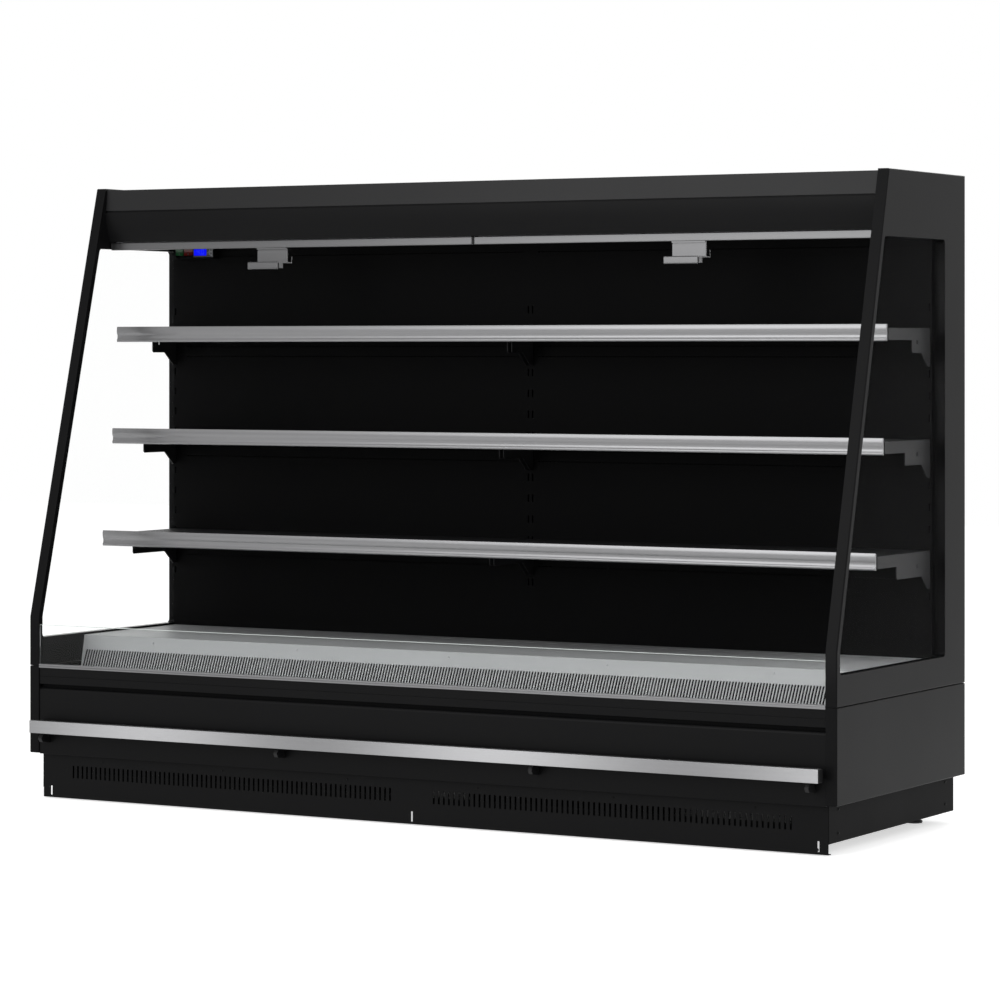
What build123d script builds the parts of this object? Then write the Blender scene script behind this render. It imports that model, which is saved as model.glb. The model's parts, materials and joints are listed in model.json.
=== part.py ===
from math import cos, radians
import os

from build123d import *

os.makedirs("parts", exist_ok=True)

# Open multideck display fridge, in millimetres.
# X runs along the case, Z is up, and the open front faces -Y.
# The origin is on the floor, under the middle of the whole case.
# A "depth" below is measured backwards from the front edges of the end panels.

# ---- the case ----
overall_length = 2222
case_depth = 725
case_height = 1538
bumper_reach = 39
end_thickness = 28
end_bottom = 114
end_seam = 332
seam_gap = 0.8
front_kink = 455
top_setback = 283
edge_round = 3

# ---- windows in the ends ----
window_bottom = 403
window_drop = 17
window_rear_margin = 121
window_front = 17
window_corner = 10
pane_thickness = 8
pane_gap = 0.3

# ---- sheet metal and fits ----
sheet = 1.5
fit = 0.2
panel_end_gap = 0.5
pin_fit = 0.05

# ---- base ----
base_bottom = 27
rail_height = 35
rail_width = 40
rail_wall = 2
front_rail_depth = 60
rear_rail_inset = 85
post_size = 30
foot_inset = 75
foot_pad_radius = 20
foot_pad_height = 8
foot_nut_radius = 11
kick_depth = 19
kick_bottom = 3
kick_top = 110
kick_flange = 15
vent_pitch = 13.864
vent_width = 5
vent_bottom = 54
vent_top = 85
vent_centre_gap = 53.6
vent_end_gap = 86.6
louvre_length = 300
louvre_height = 8
louvre_pitch = 20
louvre_count = 4
kick_slot_bottom = 9
kick_slot_top = 33
kick_slot_inset = 26

# ---- insulated tub and back wall ----
tub_bottom = 235
tub_floor = 35
tub_front = 14
tub_front_wall = 30
back_wall_thickness = 55
panel_skin = 1
rear_clearance = 5
top_step = 4
top_thickness = 54
top_front_lean = 6

# ---- front ----
front_face = 3
front_bottom = 112
front_groove_bottom = 277.7
front_groove_top = 287.5
front_line = 306.6
front_round = 8
rail_bottom = 328
glass_rail_height = 9
glass_rail_depth = 16
glass_front = 4
glass_thickness = 5
glass_seat_height = 3
glass_chamfer = 1
glass_top = 435.4
bumper_bottom = 168
bumper_height = 31
bumper_skin = 1.2
bumper_depth = 26
bumper_lip_gap = 6
bumper_arm_inset = 30
bumper_arm_width = 30
gusset_width = 10
gusset_drop = 26
gusset_top_reach = 14
gusset_nose_reach = 23
gusset_toe_reach = 17
gusset_toe_rise = 4
gusset_heel_setback = 9
gusset_edge = 5

# ---- deck, return air and evaporator ----
deck_top = 398
grille_foot_depth = 168.6
grille_top_depth = 192
grille_flange = 22
grille_slot_pitch = 23.7
grille_slot_width = 4
grille_slot_bottom = 290
grille_slot_top = 362
fan_plate_depth = 225
fan_spacing = 1080
evaporator_fan_radius = 50
evaporator_hub_radius = 19
evaporator_hub_length = 20
evaporator_blade_chord = 26
fan_blade_count = 5
coil_front_gap = 75
coil_rear_gap = 68
coil_height = 100
coil_end_gap = 83
coil_fin_pitch = 220
coil_tube = 12
coil_tube_inset = 10

# ---- shelves ----
lowest_rail_top = 660.5
slot_pitch = 52.3
pitches_per_shelf = 5
bottom_shelf_depth = 320
middle_shelf_depth = 278
top_shelf_depth = 258
bottom_arm_length = 127
middle_arm_length = 133
top_arm_length = 153
rail_lip = 8.5
price_rail_height = 39.5
price_rail_depth = 6
rail_end_gap = 1
rail_band_height = 19
rail_crown = 1.5
rail_step = 2.2
rail_step_height = 1
rail_hollow = 3.2
rail_hollow_height = 11.5
rail_lip_inset = 0.5
tray_height = 28
tray_sheet = 1.2
bracket_thickness = 3
bracket_drop = 58
bracket_rear_drop = 90
bracket_slope_start = 51
bracket_slope_end = 13
bracket_corner = 4
bracket_slot_inset = 76
bracket_slot_drop = 33
bracket_slot_width = 5
bracket_slot_height = 10
shelf_end_gap = 4
shelf_rear_gap = 2
centre_bracket_offset = 6

# ---- uprights and back panels ----
duct_depth = 77
upright_width = 40
upright_wall = 2
upright_slot_width = 4
upright_slot_height = 18
upright_slot_count = 14
slot_count_below_hook = 2
hook_inset = 8
hook_height = 8
hook_drop = 8
hook_reach = 6.4
back_panel_flange = 15

# ---- canopy ----
canopy_depth_step = 0.5
fascia_drop = 80
fascia_seam = 4
fascia_seam_depth = 4.5
fascia_tuck = 13.5
fascia_flange = 20
ceiling_drop = 80
honeycomb_depth = 72
honeycomb_height = 24
honeycomb_cells = 12
duct_lap = 6.5
duct_flange = 20
duct_foot = 8
honeycomb_wall = 2
lamp_gap = 10
lamp_depth = 23
lamp_height = 10
lamp_end_gap = 43
lamp_round = 6

# ---- night blinds ----
roller_setback = 55.5
roller_drop = 40
roll_radius = 24
roll_clearance = 8
roller_pin_radius = 5
roller_pin_length = 5
roller_side_gap = 0.5
end_bracket_width = 6
middle_bracket_width = 12
roller_bracket_half_depth = 20
curtain_thickness = 0.8
curtain_gap = 0.3
curtain_side_gap = 4
bar_setback = 22
bar_depth = 15.5
bar_gap = 1
bar_height = 19
bar_wall = 1.5
bar_end_gap = 1.5
bar_side_gap = 2
handle_end_offset = 496
handle_width = 88
handle_tab = 4
handle_groove = 3
handle_groove_depth = 6
handle_step = 4
handle_plate = 4.5
handle_hook_reach = 24
handle_hook_height = 18
grip_reach = 40.5
grip_depth = 27
grip_drop = 55
grip_height = 19
grip_skin = 3
grip_notch = 5

# ---- control box ----
control_inset = 25
control_width = 120
control_height = 35.5
control_depth = 27.8
lamp_rocker_width = 23.5
power_rocker_width = 28
rocker_wall = 1.5
rocker_half_height = 9.5
rocker_clearance = 2.5
rocker_pivot_depth = 6
rocker_pocket_depth = 15
rocker_spacing = 2.5
controller_width = 61
controller_height = 27
controller_depth = 20
controller_reach = 1
display_width = 40
display_height = 20
display_inset = 1.5
display_recess = 1
button_size = 4.4
button_fit = 0.1
button_length = 5
button_reach = 0.8
button_spacing = 9
button_chamfer = 0.4

# ---- machine compartment ----
compressor_x = 70
compressor_depth = 420
compressor_radius = 78
compressor_height = 145
grommet_height = 10
grommet_size = 24
compressor_foot = 3
compressor_foot_margin = 8
stub_wall = 2
stub_reach = 92
discharge_height = 150
condenser_left = 145
condenser_length = 480
condenser_front = 40
condenser_depth = 50
condenser_height = 160
shroud_depth = 40
condenser_fan_radius = 70
condenser_hub_radius = 24
condenser_hub_length = 24
condenser_blade_chord = 34
condenser_hub_gap = 14
condenser_core_inset = 6
condenser_fin_pitch = 60
motor_size = 44
motor_length = 28
motor_gap = 0.3
strap_setback = 4
strap_thickness = 2
strap_half_width = 6
ring_gap = 2
blade_pitch = 30
blade_root = 3
blade_thickness = 2
condensate_tray_x = -400
condensate_tray_size = (240, 230, 30)
condensate_tray_depth = 300
drain_radius = 13.5
drain_wall = 2.5
drain_bottom = 85
electrical_inset = 343
electrical_size = (240, 118.5, 140)
gland_radius = 12
gland_bore = 5.5
gland_reach = 5.5
pipe_radius = 5
liquid_riser_x = 35
discharge_x = compressor_x

# ---- worked out from the sizes above ----
front_plane = bumper_reach - (case_depth + bumper_reach) / 2
half_inner = overall_length / 2 - end_thickness
front_slope = top_setback / (case_height - front_kink)
top_underside = case_height - top_step - top_thickness
top_front = top_setback + top_front_lean
fascia_front = top_setback - canopy_depth_step
fascia_bottom = top_underside - fascia_drop
ceiling_top = top_underside - ceiling_drop
roller_depth = fascia_front + roller_setback
roller_height = top_underside - roller_drop
duct_plate_depth = roller_depth + roll_radius + roll_clearance
honeycomb_front = duct_plate_depth + sheet
ceiling_front = honeycomb_front + honeycomb_depth - duct_lap
lamp_front = ceiling_front + lamp_gap
bar_front = fascia_front + bar_setback
window_top = fascia_bottom - window_drop
handle_centre = half_inner - handle_end_offset
bumper_arm_spread = (half_inner - bumper_arm_inset) / 3
vent_count = int((half_inner - vent_centre_gap - vent_end_gap) / vent_pitch)
vent_group_centre = vent_centre_gap + vent_count * vent_pitch / 2
coil_length = 2 * (half_inner - coil_end_gap)
electrical_x = electrical_inset - half_inner
rear_face = case_depth - rear_clearance
back_wall_front = rear_face - back_wall_thickness
upright_front = back_wall_front - duct_depth
window_rear = case_depth - window_rear_margin
coil_front = fan_plate_depth + coil_front_gap
coil_rear = upright_front - coil_rear_gap
shelf_depths = {"bottom": bottom_shelf_depth, "middle": middle_shelf_depth, "top": top_shelf_depth}
arm_lengths = {"bottom": bottom_arm_length, "middle": middle_arm_length, "top": top_arm_length}
machine_floor = base_bottom + rail_height + sheet
rear_rail_depth = case_depth - rear_rail_inset
tub_well = tub_bottom + tub_floor
tub_wall_top = rail_bottom - sheet
deck_underside = deck_top - sheet
canopy_top_height = top_underside + top_thickness
ceiling_underside = ceiling_top - sheet
bar_top = fascia_bottom - bar_gap
bar_bottom = bar_top - bar_height
grip_front = bar_front - grip_reach
grip_bottom = bar_bottom - grip_drop
plate_side = half_inner - sheet


def along_x(x):
    """The side-view plane at x: local X is depth, local Y is height."""
    return Plane(origin=(x, front_plane, 0), x_dir=(0, 1, 0), z_dir=(1, 0, 0))


def facing_front(depth):
    """The front-view plane at a depth: local X is along the case, local Y is height."""
    return Plane(origin=(0, front_plane + depth, 0), x_dir=(1, 0, 0), z_dir=(0, -1, 0))


def spot(x, depth, height):
    return Vector(x, front_plane + depth, height)


def profile(corners, x_start, x_end, mode=Mode.ADD):
    """Extrude a closed side outline of (depth, height) corners from x_start to x_end."""
    with BuildSketch(along_x(x_start)) as outline:
        with BuildLine():
            Polyline(*corners, close=True)
        make_face()
    extrude(outline.sketch, amount=x_end - x_start, mode=mode)


def block(x_start, x_end, front, rear, bottom, top, mode=Mode.ADD):
    corners = [(front, bottom), (rear, bottom), (rear, top), (front, top)]
    profile(corners, x_start, x_end, mode)


def bent_sheet(path, thickness, x_start, x_end, side=Side.LEFT):
    """Extrude an open side path of (depth, height) corners as folded sheet metal."""
    with BuildSketch(along_x(x_start)) as outline:
        with BuildLine():
            Polyline(*path)
            offset(amount=thickness, side=side, kind=Kind.INTERSECTION)
        make_face()
    extrude(outline.sketch, amount=x_end - x_start)


def rod(centre, direction, radius, length, mode=Mode.ADD):
    """A round rod that starts at centre and runs along direction."""
    with BuildSketch(Plane(origin=centre, z_dir=direction)) as section:
        Circle(radius)
    extrude(section.sketch, amount=length, mode=mode)


# ---- end panels and end frames ----
def window_outline():
    """The window's corners as (depth, height)."""
    upper_front = window_front + front_slope * (window_top - front_kink)
    return [
        (window_rear, window_top),
        (window_rear, window_bottom),
        (window_front, window_bottom),
        (window_front, front_kink),
        (upper_front, window_top),
    ]


def window_face(x, inset=0):
    """The window as a face on the side plane at x, drawn in by inset."""
    with BuildSketch(along_x(x)) as window:
        with BuildLine():
            Polyline(*window_outline(), close=True)
        make_face()
        fillet(window.vertices(), radius=window_corner)
        if inset:
            offset(amount=-inset, mode=Mode.REPLACE)
    return window.sketch


lower_outline = [(0, end_bottom), (case_depth, end_bottom), (case_depth, end_seam), (0, end_seam)]
upper_outline = [
    (0, end_seam + seam_gap),
    (case_depth, end_seam + seam_gap),
    (case_depth, case_height),
    (top_setback, case_height),
    (0, front_kink),
]

for side_name, side in (("left", -1), ("right", 1)):
    inner_x = side * half_inner
    outer_x = side * overall_length / 2

    with BuildPart() as end_panel:
        profile(lower_outline, inner_x, outer_x)
        outer_face = end_panel.faces().sort_by(Axis.X)[0 if side < 0 else -1]
        fillet(outer_face.edges(), radius=edge_round)
    end_panel.part.label = f"end_panel_{side_name}"
    export_step(end_panel.part, f"parts/end_panel_{side_name}.step")

    with BuildPart() as end_frame:
        profile(upper_outline, inner_x, outer_x)
        outer_face = end_frame.faces().sort_by(Axis.X)[0 if side < 0 else -1]
        fillet(outer_face.edges(), radius=edge_round)
        extrude(window_face(inner_x), amount=outer_x - inner_x, mode=Mode.SUBTRACT)
    end_frame.part.label = f"end_frame_{side_name}"
    export_step(end_frame.part, f"parts/end_frame_{side_name}.step")

with BuildPart() as end_glass:
    for side in (-1, 1):
        pane_x = side * (half_inner + end_thickness / 2)
        extrude(window_face(pane_x, pane_gap), amount=pane_thickness / 2, both=True)
end_glass.part.label = "end_glass"
export_step(end_glass.part, "parts/end_glass.step")


# ---- base frame ----
def rail_outline(front, opens_back):
    """A C-shaped rail section that opens to the back or to the front."""
    rear = front + rail_width
    web, mouth = (front, rear) if opens_back else (rear, front)
    inner = web + (rail_wall if opens_back else -rail_wall)
    top = base_bottom + rail_height
    return [
        (mouth, base_bottom),
        (web, base_bottom),
        (web, top),
        (mouth, top),
        (mouth, top - rail_wall),
        (inner, top - rail_wall),
        (inner, base_bottom + rail_wall),
        (mouth, base_bottom + rail_wall),
    ]


foot_places = [
    (x, depth)
    for x in (-half_inner + foot_inset, half_inner - foot_inset)
    for depth in (front_rail_depth + rail_width / 2, rear_rail_depth + rail_width / 2)
]
post_places = [
    (x, depth)
    for x in (-plate_side + post_size / 2, 0, plate_side - post_size / 2)
    for depth in (front_rail_depth + post_size / 2, rear_rail_depth + rail_width - post_size / 2)
]
outer_cross = plate_side - rail_width / 2
cross_places = [-outer_cross, -outer_cross / 3, outer_cross / 3, outer_cross]

with BuildPart() as base_frame:
    profile(rail_outline(front_rail_depth, True), -plate_side, plate_side)
    profile(rail_outline(rear_rail_depth, False), -plate_side, plate_side)
    for x in cross_places:
        half = rail_width / 2
        rail_top_height = base_bottom + rail_height
        front, rear = front_rail_depth + rail_width, rear_rail_depth
        block(x - half, x + half, front, rear, base_bottom, rail_top_height)
        half -= rail_wall
        block(x - half, x + half, front, rear, base_bottom, rail_top_height - rail_wall, Mode.SUBTRACT)
base_frame.part.label = "base_frame"
export_step(base_frame.part, "parts/base_frame.step")

with BuildPart() as floor_sheet:
    floor_rear = rear_rail_depth + rail_width
    block(-plate_side, plate_side, front_rail_depth, floor_rear, machine_floor - sheet, machine_floor)
floor_sheet.part.label = "floor_sheet"
export_step(floor_sheet.part, "parts/floor_sheet.step")

with BuildPart() as base_posts:
    half = post_size / 2
    for x, depth in post_places:
        block(x - half, x + half, depth - half, depth + half, machine_floor, tub_bottom)
base_posts.part.label = "base_posts"
export_step(base_posts.part, "parts/base_posts.step")

with BuildPart() as levelling_feet:
    for x, depth in foot_places:
        rod(spot(x, depth, 0), (0, 0, 1), foot_pad_radius, foot_pad_height)
        with BuildSketch(Plane(origin=spot(x, depth, foot_pad_height))) as nut:
            RegularPolygon(foot_nut_radius, 6)
        extrude(nut.sketch, amount=base_bottom - foot_pad_height)
levelling_feet.part.label = "levelling_feet"
export_step(levelling_feet.part, "parts/levelling_feet.step")

kick_outline = [
    (kick_depth + kick_flange, kick_bottom),
    (kick_depth, kick_bottom),
    (kick_depth, kick_top),
    (kick_depth + kick_flange, kick_top),
]
with BuildPart() as kick_plate:
    bent_sheet(kick_outline, sheet, -plate_side, plate_side, Side.RIGHT)
    with BuildSketch(facing_front(kick_depth)) as vents:
        vent_height = (vent_bottom + vent_top) / 2
        with Locations((-vent_group_centre, vent_height), (vent_group_centre, vent_height)):
            with GridLocations(vent_pitch, 1, vent_count, 1):
                Rectangle(vent_width, vent_top - vent_bottom)
        kick_slot_x = half_inner - kick_slot_inset
        slot_middle = (kick_slot_bottom + kick_slot_top) / 2
        with Locations((-kick_slot_x, slot_middle), (0, slot_middle), (kick_slot_x, slot_middle)):
            Rectangle(vent_width, kick_slot_top - kick_slot_bottom)
    extrude(vents.sketch, amount=-sheet, mode=Mode.SUBTRACT)
kick_plate.part.label = "kick_plate"
export_step(kick_plate.part, "parts/kick_plate.step")

cover_half = plate_side - fit
with BuildPart() as plinth_panels:
    for side in (-1, 1):
        block(side * plate_side, side * half_inner, kick_depth, rear_face, base_bottom, tub_bottom)
    block(-cover_half, cover_half, rear_face - sheet, rear_face, base_bottom, tub_bottom)
    with BuildSketch(facing_front(rear_face - sheet)) as louvres:
        louvre_middle = (machine_floor + tub_bottom) / 2
        with Locations((-vent_group_centre / 2, louvre_middle), (vent_group_centre, louvre_middle)):
            with GridLocations(1, louvre_pitch, 1, louvre_count):
                Rectangle(louvre_length, louvre_height)
    extrude(louvres.sketch, amount=-sheet, mode=Mode.SUBTRACT)
    gland_height = machine_floor + electrical_size[2] / 2
    gland_place = spot(electrical_x, rear_face - sheet, gland_height)
    rod(gland_place, (0, 1, 0), gland_radius + fit, sheet, Mode.SUBTRACT)
plinth_panels.part.label = "plinth_panels"
export_step(plinth_panels.part, "parts/plinth_panels.step")

# ---- machine compartment ----
compressor_base = machine_floor + grommet_height
shell_bottom = compressor_base + compressor_foot
shell_top = shell_bottom + compressor_height
with BuildPart() as compressor:
    foot_spread = compressor_radius - compressor_foot_margin
    half_pad = grommet_size / 2
    for x in (compressor_x - foot_spread, compressor_x + foot_spread):
        for depth in (compressor_depth - foot_spread, compressor_depth + foot_spread):
            front, rear = depth - half_pad, depth + half_pad
            block(x - half_pad, x + half_pad, front, rear, machine_floor, compressor_base)
    half = compressor_radius + compressor_foot_margin
    start, end = compressor_x - half, compressor_x + half
    front, rear = compressor_depth - half, compressor_depth + half
    block(start, end, front, rear, compressor_base, shell_bottom)
    shell_foot = spot(compressor_x, compressor_depth, shell_bottom)
    rod(shell_foot, (0, 0, 1), compressor_radius, compressor_height)
    stub_foot = spot(discharge_x, compressor_depth, discharge_height)
    rod(stub_foot, (0, -1, 0), pipe_radius + stub_wall, stub_reach)
compressor.part.label = "compressor"
export_step(compressor.part, "parts/compressor.step")

condenser_right = condenser_left + condenser_length
condenser_top = machine_floor + condenser_height
condenser_rear = condenser_front + condenser_depth
shroud_rear = condenser_rear + shroud_depth
condenser_fan_height = machine_floor + condenser_height / 2
condenser_middle = condenser_left + condenser_length / 2
with BuildPart() as condenser:
    block(
        condenser_left,
        condenser_right,
        condenser_front + condenser_core_inset,
        condenser_rear - condenser_core_inset,
        machine_floor + condenser_core_inset,
        condenser_top - condenser_core_inset,
    )
    fin_total = int(condenser_length / condenser_fin_pitch)
    for fin in range(fin_total + 1):
        x = condenser_left + fin * (condenser_length - sheet) / fin_total
        block(x, x + sheet, condenser_front, condenser_rear, machine_floor, condenser_top)
    shroud_path = [
        (condenser_rear, machine_floor),
        (shroud_rear, machine_floor),
        (shroud_rear, condenser_top),
        (condenser_rear, condenser_top),
    ]
    bent_sheet(shroud_path, sheet, condenser_left, condenser_right)
    opening = spot(condenser_middle, shroud_rear - sheet, condenser_fan_height)
    rod(opening, (0, 1, 0), condenser_fan_radius + ring_gap, sheet, Mode.SUBTRACT)
condenser.part.label = "condenser"
export_step(condenser.part, "parts/condenser.step")

tray_length, tray_width, tray_rise = condensate_tray_size
with BuildPart() as condensate_tray:
    start = condensate_tray_x - tray_length / 2
    block(
        start,
        start + tray_length,
        condensate_tray_depth,
        condensate_tray_depth + tray_width,
        machine_floor,
        machine_floor + tray_rise,
    )
    upper = condensate_tray.faces().sort_by(Axis.Z)[-1]
    offset(amount=-drain_wall, openings=upper)
    drain_spot = spot(condensate_tray_x, condensate_tray_depth + tray_width / 2, tub_bottom)
    rod(drain_spot, (0, 0, -1), drain_radius + drain_wall, tub_bottom - drain_bottom)
    rod(drain_spot, (0, 0, -1), drain_radius, tub_bottom - drain_bottom, Mode.SUBTRACT)
condensate_tray.part.label = "condensate_tray"
export_step(condensate_tray.part, "parts/condensate_tray.step")

with BuildPart() as electrical_box:
    box_length, box_depth, box_height = electrical_size
    box_rear = rear_face - sheet
    block(
        electrical_x - box_length / 2,
        electrical_x + box_length / 2,
        box_rear - box_depth,
        box_rear,
        machine_floor,
        machine_floor + box_height,
    )
    gland_start = spot(electrical_x, box_rear, gland_height)
    rod(gland_start, (0, 1, 0), gland_radius, gland_reach)
    gland_mouth = gland_start + Vector(0, gland_reach, 0)
    rod(gland_mouth, (0, -1, 0), gland_bore, 2 * gland_radius, Mode.SUBTRACT)
electrical_box.part.label = "electrical_box"
export_step(electrical_box.part, "parts/electrical_box.step")

# ---- insulated tub, back wall and top ----
tub_outline = [
    (tub_front, tub_bottom),
    (back_wall_front, tub_bottom),
    (back_wall_front, tub_well),
    (tub_front + tub_front_wall, tub_well),
    (tub_front + tub_front_wall, tub_wall_top),
    (tub_front, tub_wall_top),
]
with BuildPart() as insulated_tub:
    profile(tub_outline, -half_inner, half_inner)
    rod(drain_spot, (0, 0, 1), drain_radius, tub_floor, Mode.SUBTRACT)
insulated_tub.part.label = "insulated_tub"
export_step(insulated_tub.part, "parts/insulated_tub.step")


def skinned_panel(corners):
    """A sheet-metal skin around a foam core, which is left as a space inside."""
    profile(corners, -half_inner, half_inner)
    with BuildSketch(along_x(panel_skin - half_inner)) as core:
        with BuildLine():
            Polyline(*corners, close=True)
        make_face()
        offset(amount=-panel_skin, mode=Mode.REPLACE)
    extrude(core.sketch, amount=2 * (half_inner - panel_skin), mode=Mode.SUBTRACT)


back_wall_outline = [
    (back_wall_front, tub_bottom),
    (rear_face, tub_bottom),
    (rear_face, top_underside),
    (back_wall_front, top_underside),
]
with BuildPart() as back_wall:
    skinned_panel(back_wall_outline)
back_wall.part.label = "back_wall"
export_step(back_wall.part, "parts/back_wall.step")

canopy_outline = [
    (top_front - top_front_lean, top_underside),
    (rear_face, top_underside),
    (rear_face, canopy_top_height),
    (top_front, canopy_top_height),
]
with BuildPart() as canopy_top:
    skinned_panel(canopy_outline)
canopy_top.part.label = "canopy_top"
export_step(canopy_top.part, "parts/canopy_top.step")

# ---- black front, riser glass and bumper ----
panel_half = half_inner - panel_end_gap
with BuildPart() as front_panel:
    with BuildSketch(along_x(-panel_half)) as folded:
        with BuildLine():
            FilletPolyline(
                (tub_front, front_groove_bottom),
                (front_face, front_groove_bottom),
                (front_face, front_bottom),
                (kick_depth, front_bottom),
                radius=[front_round, sheet],
            )
            offset(amount=sheet, side=Side.LEFT)
        make_face()
    extrude(folded.sketch, amount=2 * panel_half)
front_panel.part.label = "front_panel"
export_step(front_panel.part, "parts/front_panel.step")

groove = 1
tub_wall_rear = tub_front + tub_front_wall
with BuildPart() as front_top_panel:
    fold = [
        (tub_wall_rear, rail_bottom),
        (front_face, rail_bottom),
        (front_face, front_groove_top),
        (tub_front, front_groove_top),
    ]
    bent_sheet(fold, sheet, -panel_half, panel_half)
    block(
        -panel_half,
        panel_half,
        front_face,
        front_face + sheet / 2,
        front_line - groove / 2,
        front_line + groove / 2,
        Mode.SUBTRACT,
    )
front_top_panel.part.label = "front_top_panel"
export_step(front_top_panel.part, "parts/front_top_panel.step")

glass_rear = glass_front + glass_thickness
rail_top = rail_bottom + glass_rail_height
glass_seat = rail_bottom + glass_seat_height
rail_middle = (rail_bottom + rail_top) / 2
rail_outline_points = [
    (0, rail_bottom),
    (glass_rail_depth, rail_bottom),
    (glass_rail_depth, rail_top),
    (glass_rear + fit, rail_top),
    (glass_rear + fit, glass_seat),
    (glass_front - fit, glass_seat),
    (glass_front - fit, rail_top),
    (0, rail_top),
    (0, rail_middle + groove),
    (groove, rail_middle + groove / 2),
    (groove, rail_middle - groove / 2),
    (0, rail_middle - groove),
]
with BuildPart() as glass_rail:
    profile(rail_outline_points, -panel_half, panel_half)
glass_rail.part.label = "glass_rail"
export_step(glass_rail.part, "parts/glass_rail.step")

with BuildPart() as riser_glass:
    block(-panel_half, panel_half, glass_front, glass_rear, glass_seat, glass_top)
    top_edges = riser_glass.faces().sort_by(Axis.Z)[-1].edges().filter_by(Axis.X)
    chamfer(top_edges, length=glass_chamfer)
riser_glass.part.label = "riser_glass"
export_step(riser_glass.part, "parts/riser_glass.step")

bumper_top = bumper_bottom + bumper_height
carrier_rear = bumper_depth - bumper_reach
bumper_fold = [
    (carrier_rear - bumper_lip_gap, bumper_bottom),
    (-bumper_reach, bumper_bottom),
    (-bumper_reach, bumper_top),
    (carrier_rear - bumper_lip_gap, bumper_top),
]
with BuildPart() as bumper_bar:
    bent_sheet(bumper_fold, bumper_skin, -half_inner, half_inner, Side.RIGHT)
bumper_bar.part.label = "bumper_bar"
export_step(bumper_bar.part, "parts/bumper_bar.step")

gusset_foot = bumper_bottom - gusset_drop
gusset_outline = [
    (carrier_rear - gusset_top_reach, bumper_bottom),
    (carrier_rear - gusset_nose_reach, bumper_bottom - gusset_drop / 2),
    (carrier_rear - gusset_toe_reach, gusset_foot + gusset_toe_rise),
    (carrier_rear + gusset_heel_setback, gusset_foot),
    (front_face, gusset_foot),
    (front_face, gusset_foot + gusset_edge),
    (carrier_rear + gusset_edge, bumper_bottom + bumper_skin),
    (carrier_rear, bumper_bottom + bumper_skin),
    (carrier_rear, bumper_bottom),
]
with BuildPart() as bumper_brackets:
    block(
        -half_inner,
        half_inner,
        bumper_skin - bumper_reach,
        carrier_rear,
        bumper_bottom + bumper_skin,
        bumper_top - bumper_skin,
    )
    for x in (-3 * bumper_arm_spread, -bumper_arm_spread, bumper_arm_spread, 3 * bumper_arm_spread):
        half = bumper_arm_width / 2
        block(
            x - half,
            x + half,
            carrier_rear,
            front_face,
            bumper_bottom + bumper_skin,
            bumper_top - bumper_skin,
        )
        profile(gusset_outline, x - gusset_width / 2, x + gusset_width / 2)
bumper_brackets.part.label = "bumper_brackets"
export_step(bumper_brackets.part, "parts/bumper_brackets.step")

# ---- return air grille, deck, evaporator ----
grille_path = [
    (grille_foot_depth + grille_flange, tub_well),
    (grille_foot_depth, tub_well),
    (grille_top_depth, deck_underside),
    (grille_top_depth + grille_flange, deck_underside),
]
with BuildPart() as air_return_grille:
    bent_sheet(grille_path, sheet, -panel_half, panel_half, Side.RIGHT)
    with BuildSketch(facing_front(grille_foot_depth - grille_flange)) as slots:
        slot_total = int(2 * panel_half / grille_slot_pitch) - 1
        with Locations((0, (grille_slot_bottom + grille_slot_top) / 2)):
            with GridLocations(grille_slot_pitch, 1, slot_total, 1):
                Rectangle(grille_slot_width, grille_slot_top - grille_slot_bottom)
    reach = grille_top_depth - grille_foot_depth + 2 * grille_flange
    extrude(slots.sketch, amount=-reach, mode=Mode.SUBTRACT)
air_return_grille.part.label = "air_return_grille"
export_step(air_return_grille.part, "parts/air_return_grille.step")

tray_gap = 1
with BuildPart() as deck_trays:
    for start, end in ((-panel_half, -tray_gap / 2), (tray_gap / 2, panel_half)):
        block(start, end, grille_top_depth, upright_front - fit, deck_underside, deck_top)
deck_trays.part.label = "deck_trays"
export_step(deck_trays.part, "parts/deck_trays.step")

fan_height = (tub_well + deck_underside) / 2
fan_places = {"left": -fan_spacing / 2, "right": fan_spacing / 2}
plate_flange = 20
with BuildPart() as fan_plate:
    fold = [
        (fan_plate_depth + plate_flange, tub_well),
        (fan_plate_depth, tub_well),
        (fan_plate_depth, deck_underside),
        (fan_plate_depth + plate_flange, deck_underside),
    ]
    bent_sheet(fold, sheet, -panel_half, panel_half, Side.RIGHT)
    for x in fan_places.values():
        opening = spot(x, fan_plate_depth, fan_height)
        rod(opening, (0, 1, 0), evaporator_fan_radius + ring_gap, sheet, Mode.SUBTRACT)
fan_plate.part.label = "fan_plate"
export_step(fan_plate.part, "parts/fan_plate.step")

coil_half = coil_length / 2
with BuildPart() as evaporator_coil:
    for tube_height in (coil_height / 4, coil_height * 3 / 4):
        bottom = tub_well + tube_height - coil_tube / 2
        front, rear = coil_front + coil_tube_inset, coil_rear - coil_tube_inset
        block(-coil_half, coil_half, front, rear, bottom, bottom + coil_tube)
    fin_total = int(coil_length / coil_fin_pitch)
    for fin in range(fin_total + 1):
        x = -coil_half + fin * (coil_length - sheet) / fin_total
        end_plate = fin in (0, fin_total)
        plate_top = deck_underside if end_plate else tub_well + coil_height
        block(x, x + sheet, coil_front, coil_rear, tub_well, plate_top)
evaporator_coil.part.label = "evaporator_coil"
export_step(evaporator_coil.part, "parts/evaporator_coil.step")


# ---- pipes ----
def pipe(points, radius):
    """A round tube through points, mitred where it turns."""
    with BuildLine() as route:
        Polyline(*points)
    start_plane = Plane(origin=route.line @ 0, z_dir=route.line % 0)
    with BuildSketch(start_plane) as section:
        Circle(radius)
    sweep(section.sketch, path=route.line, transition=Transition.RIGHT)


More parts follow.
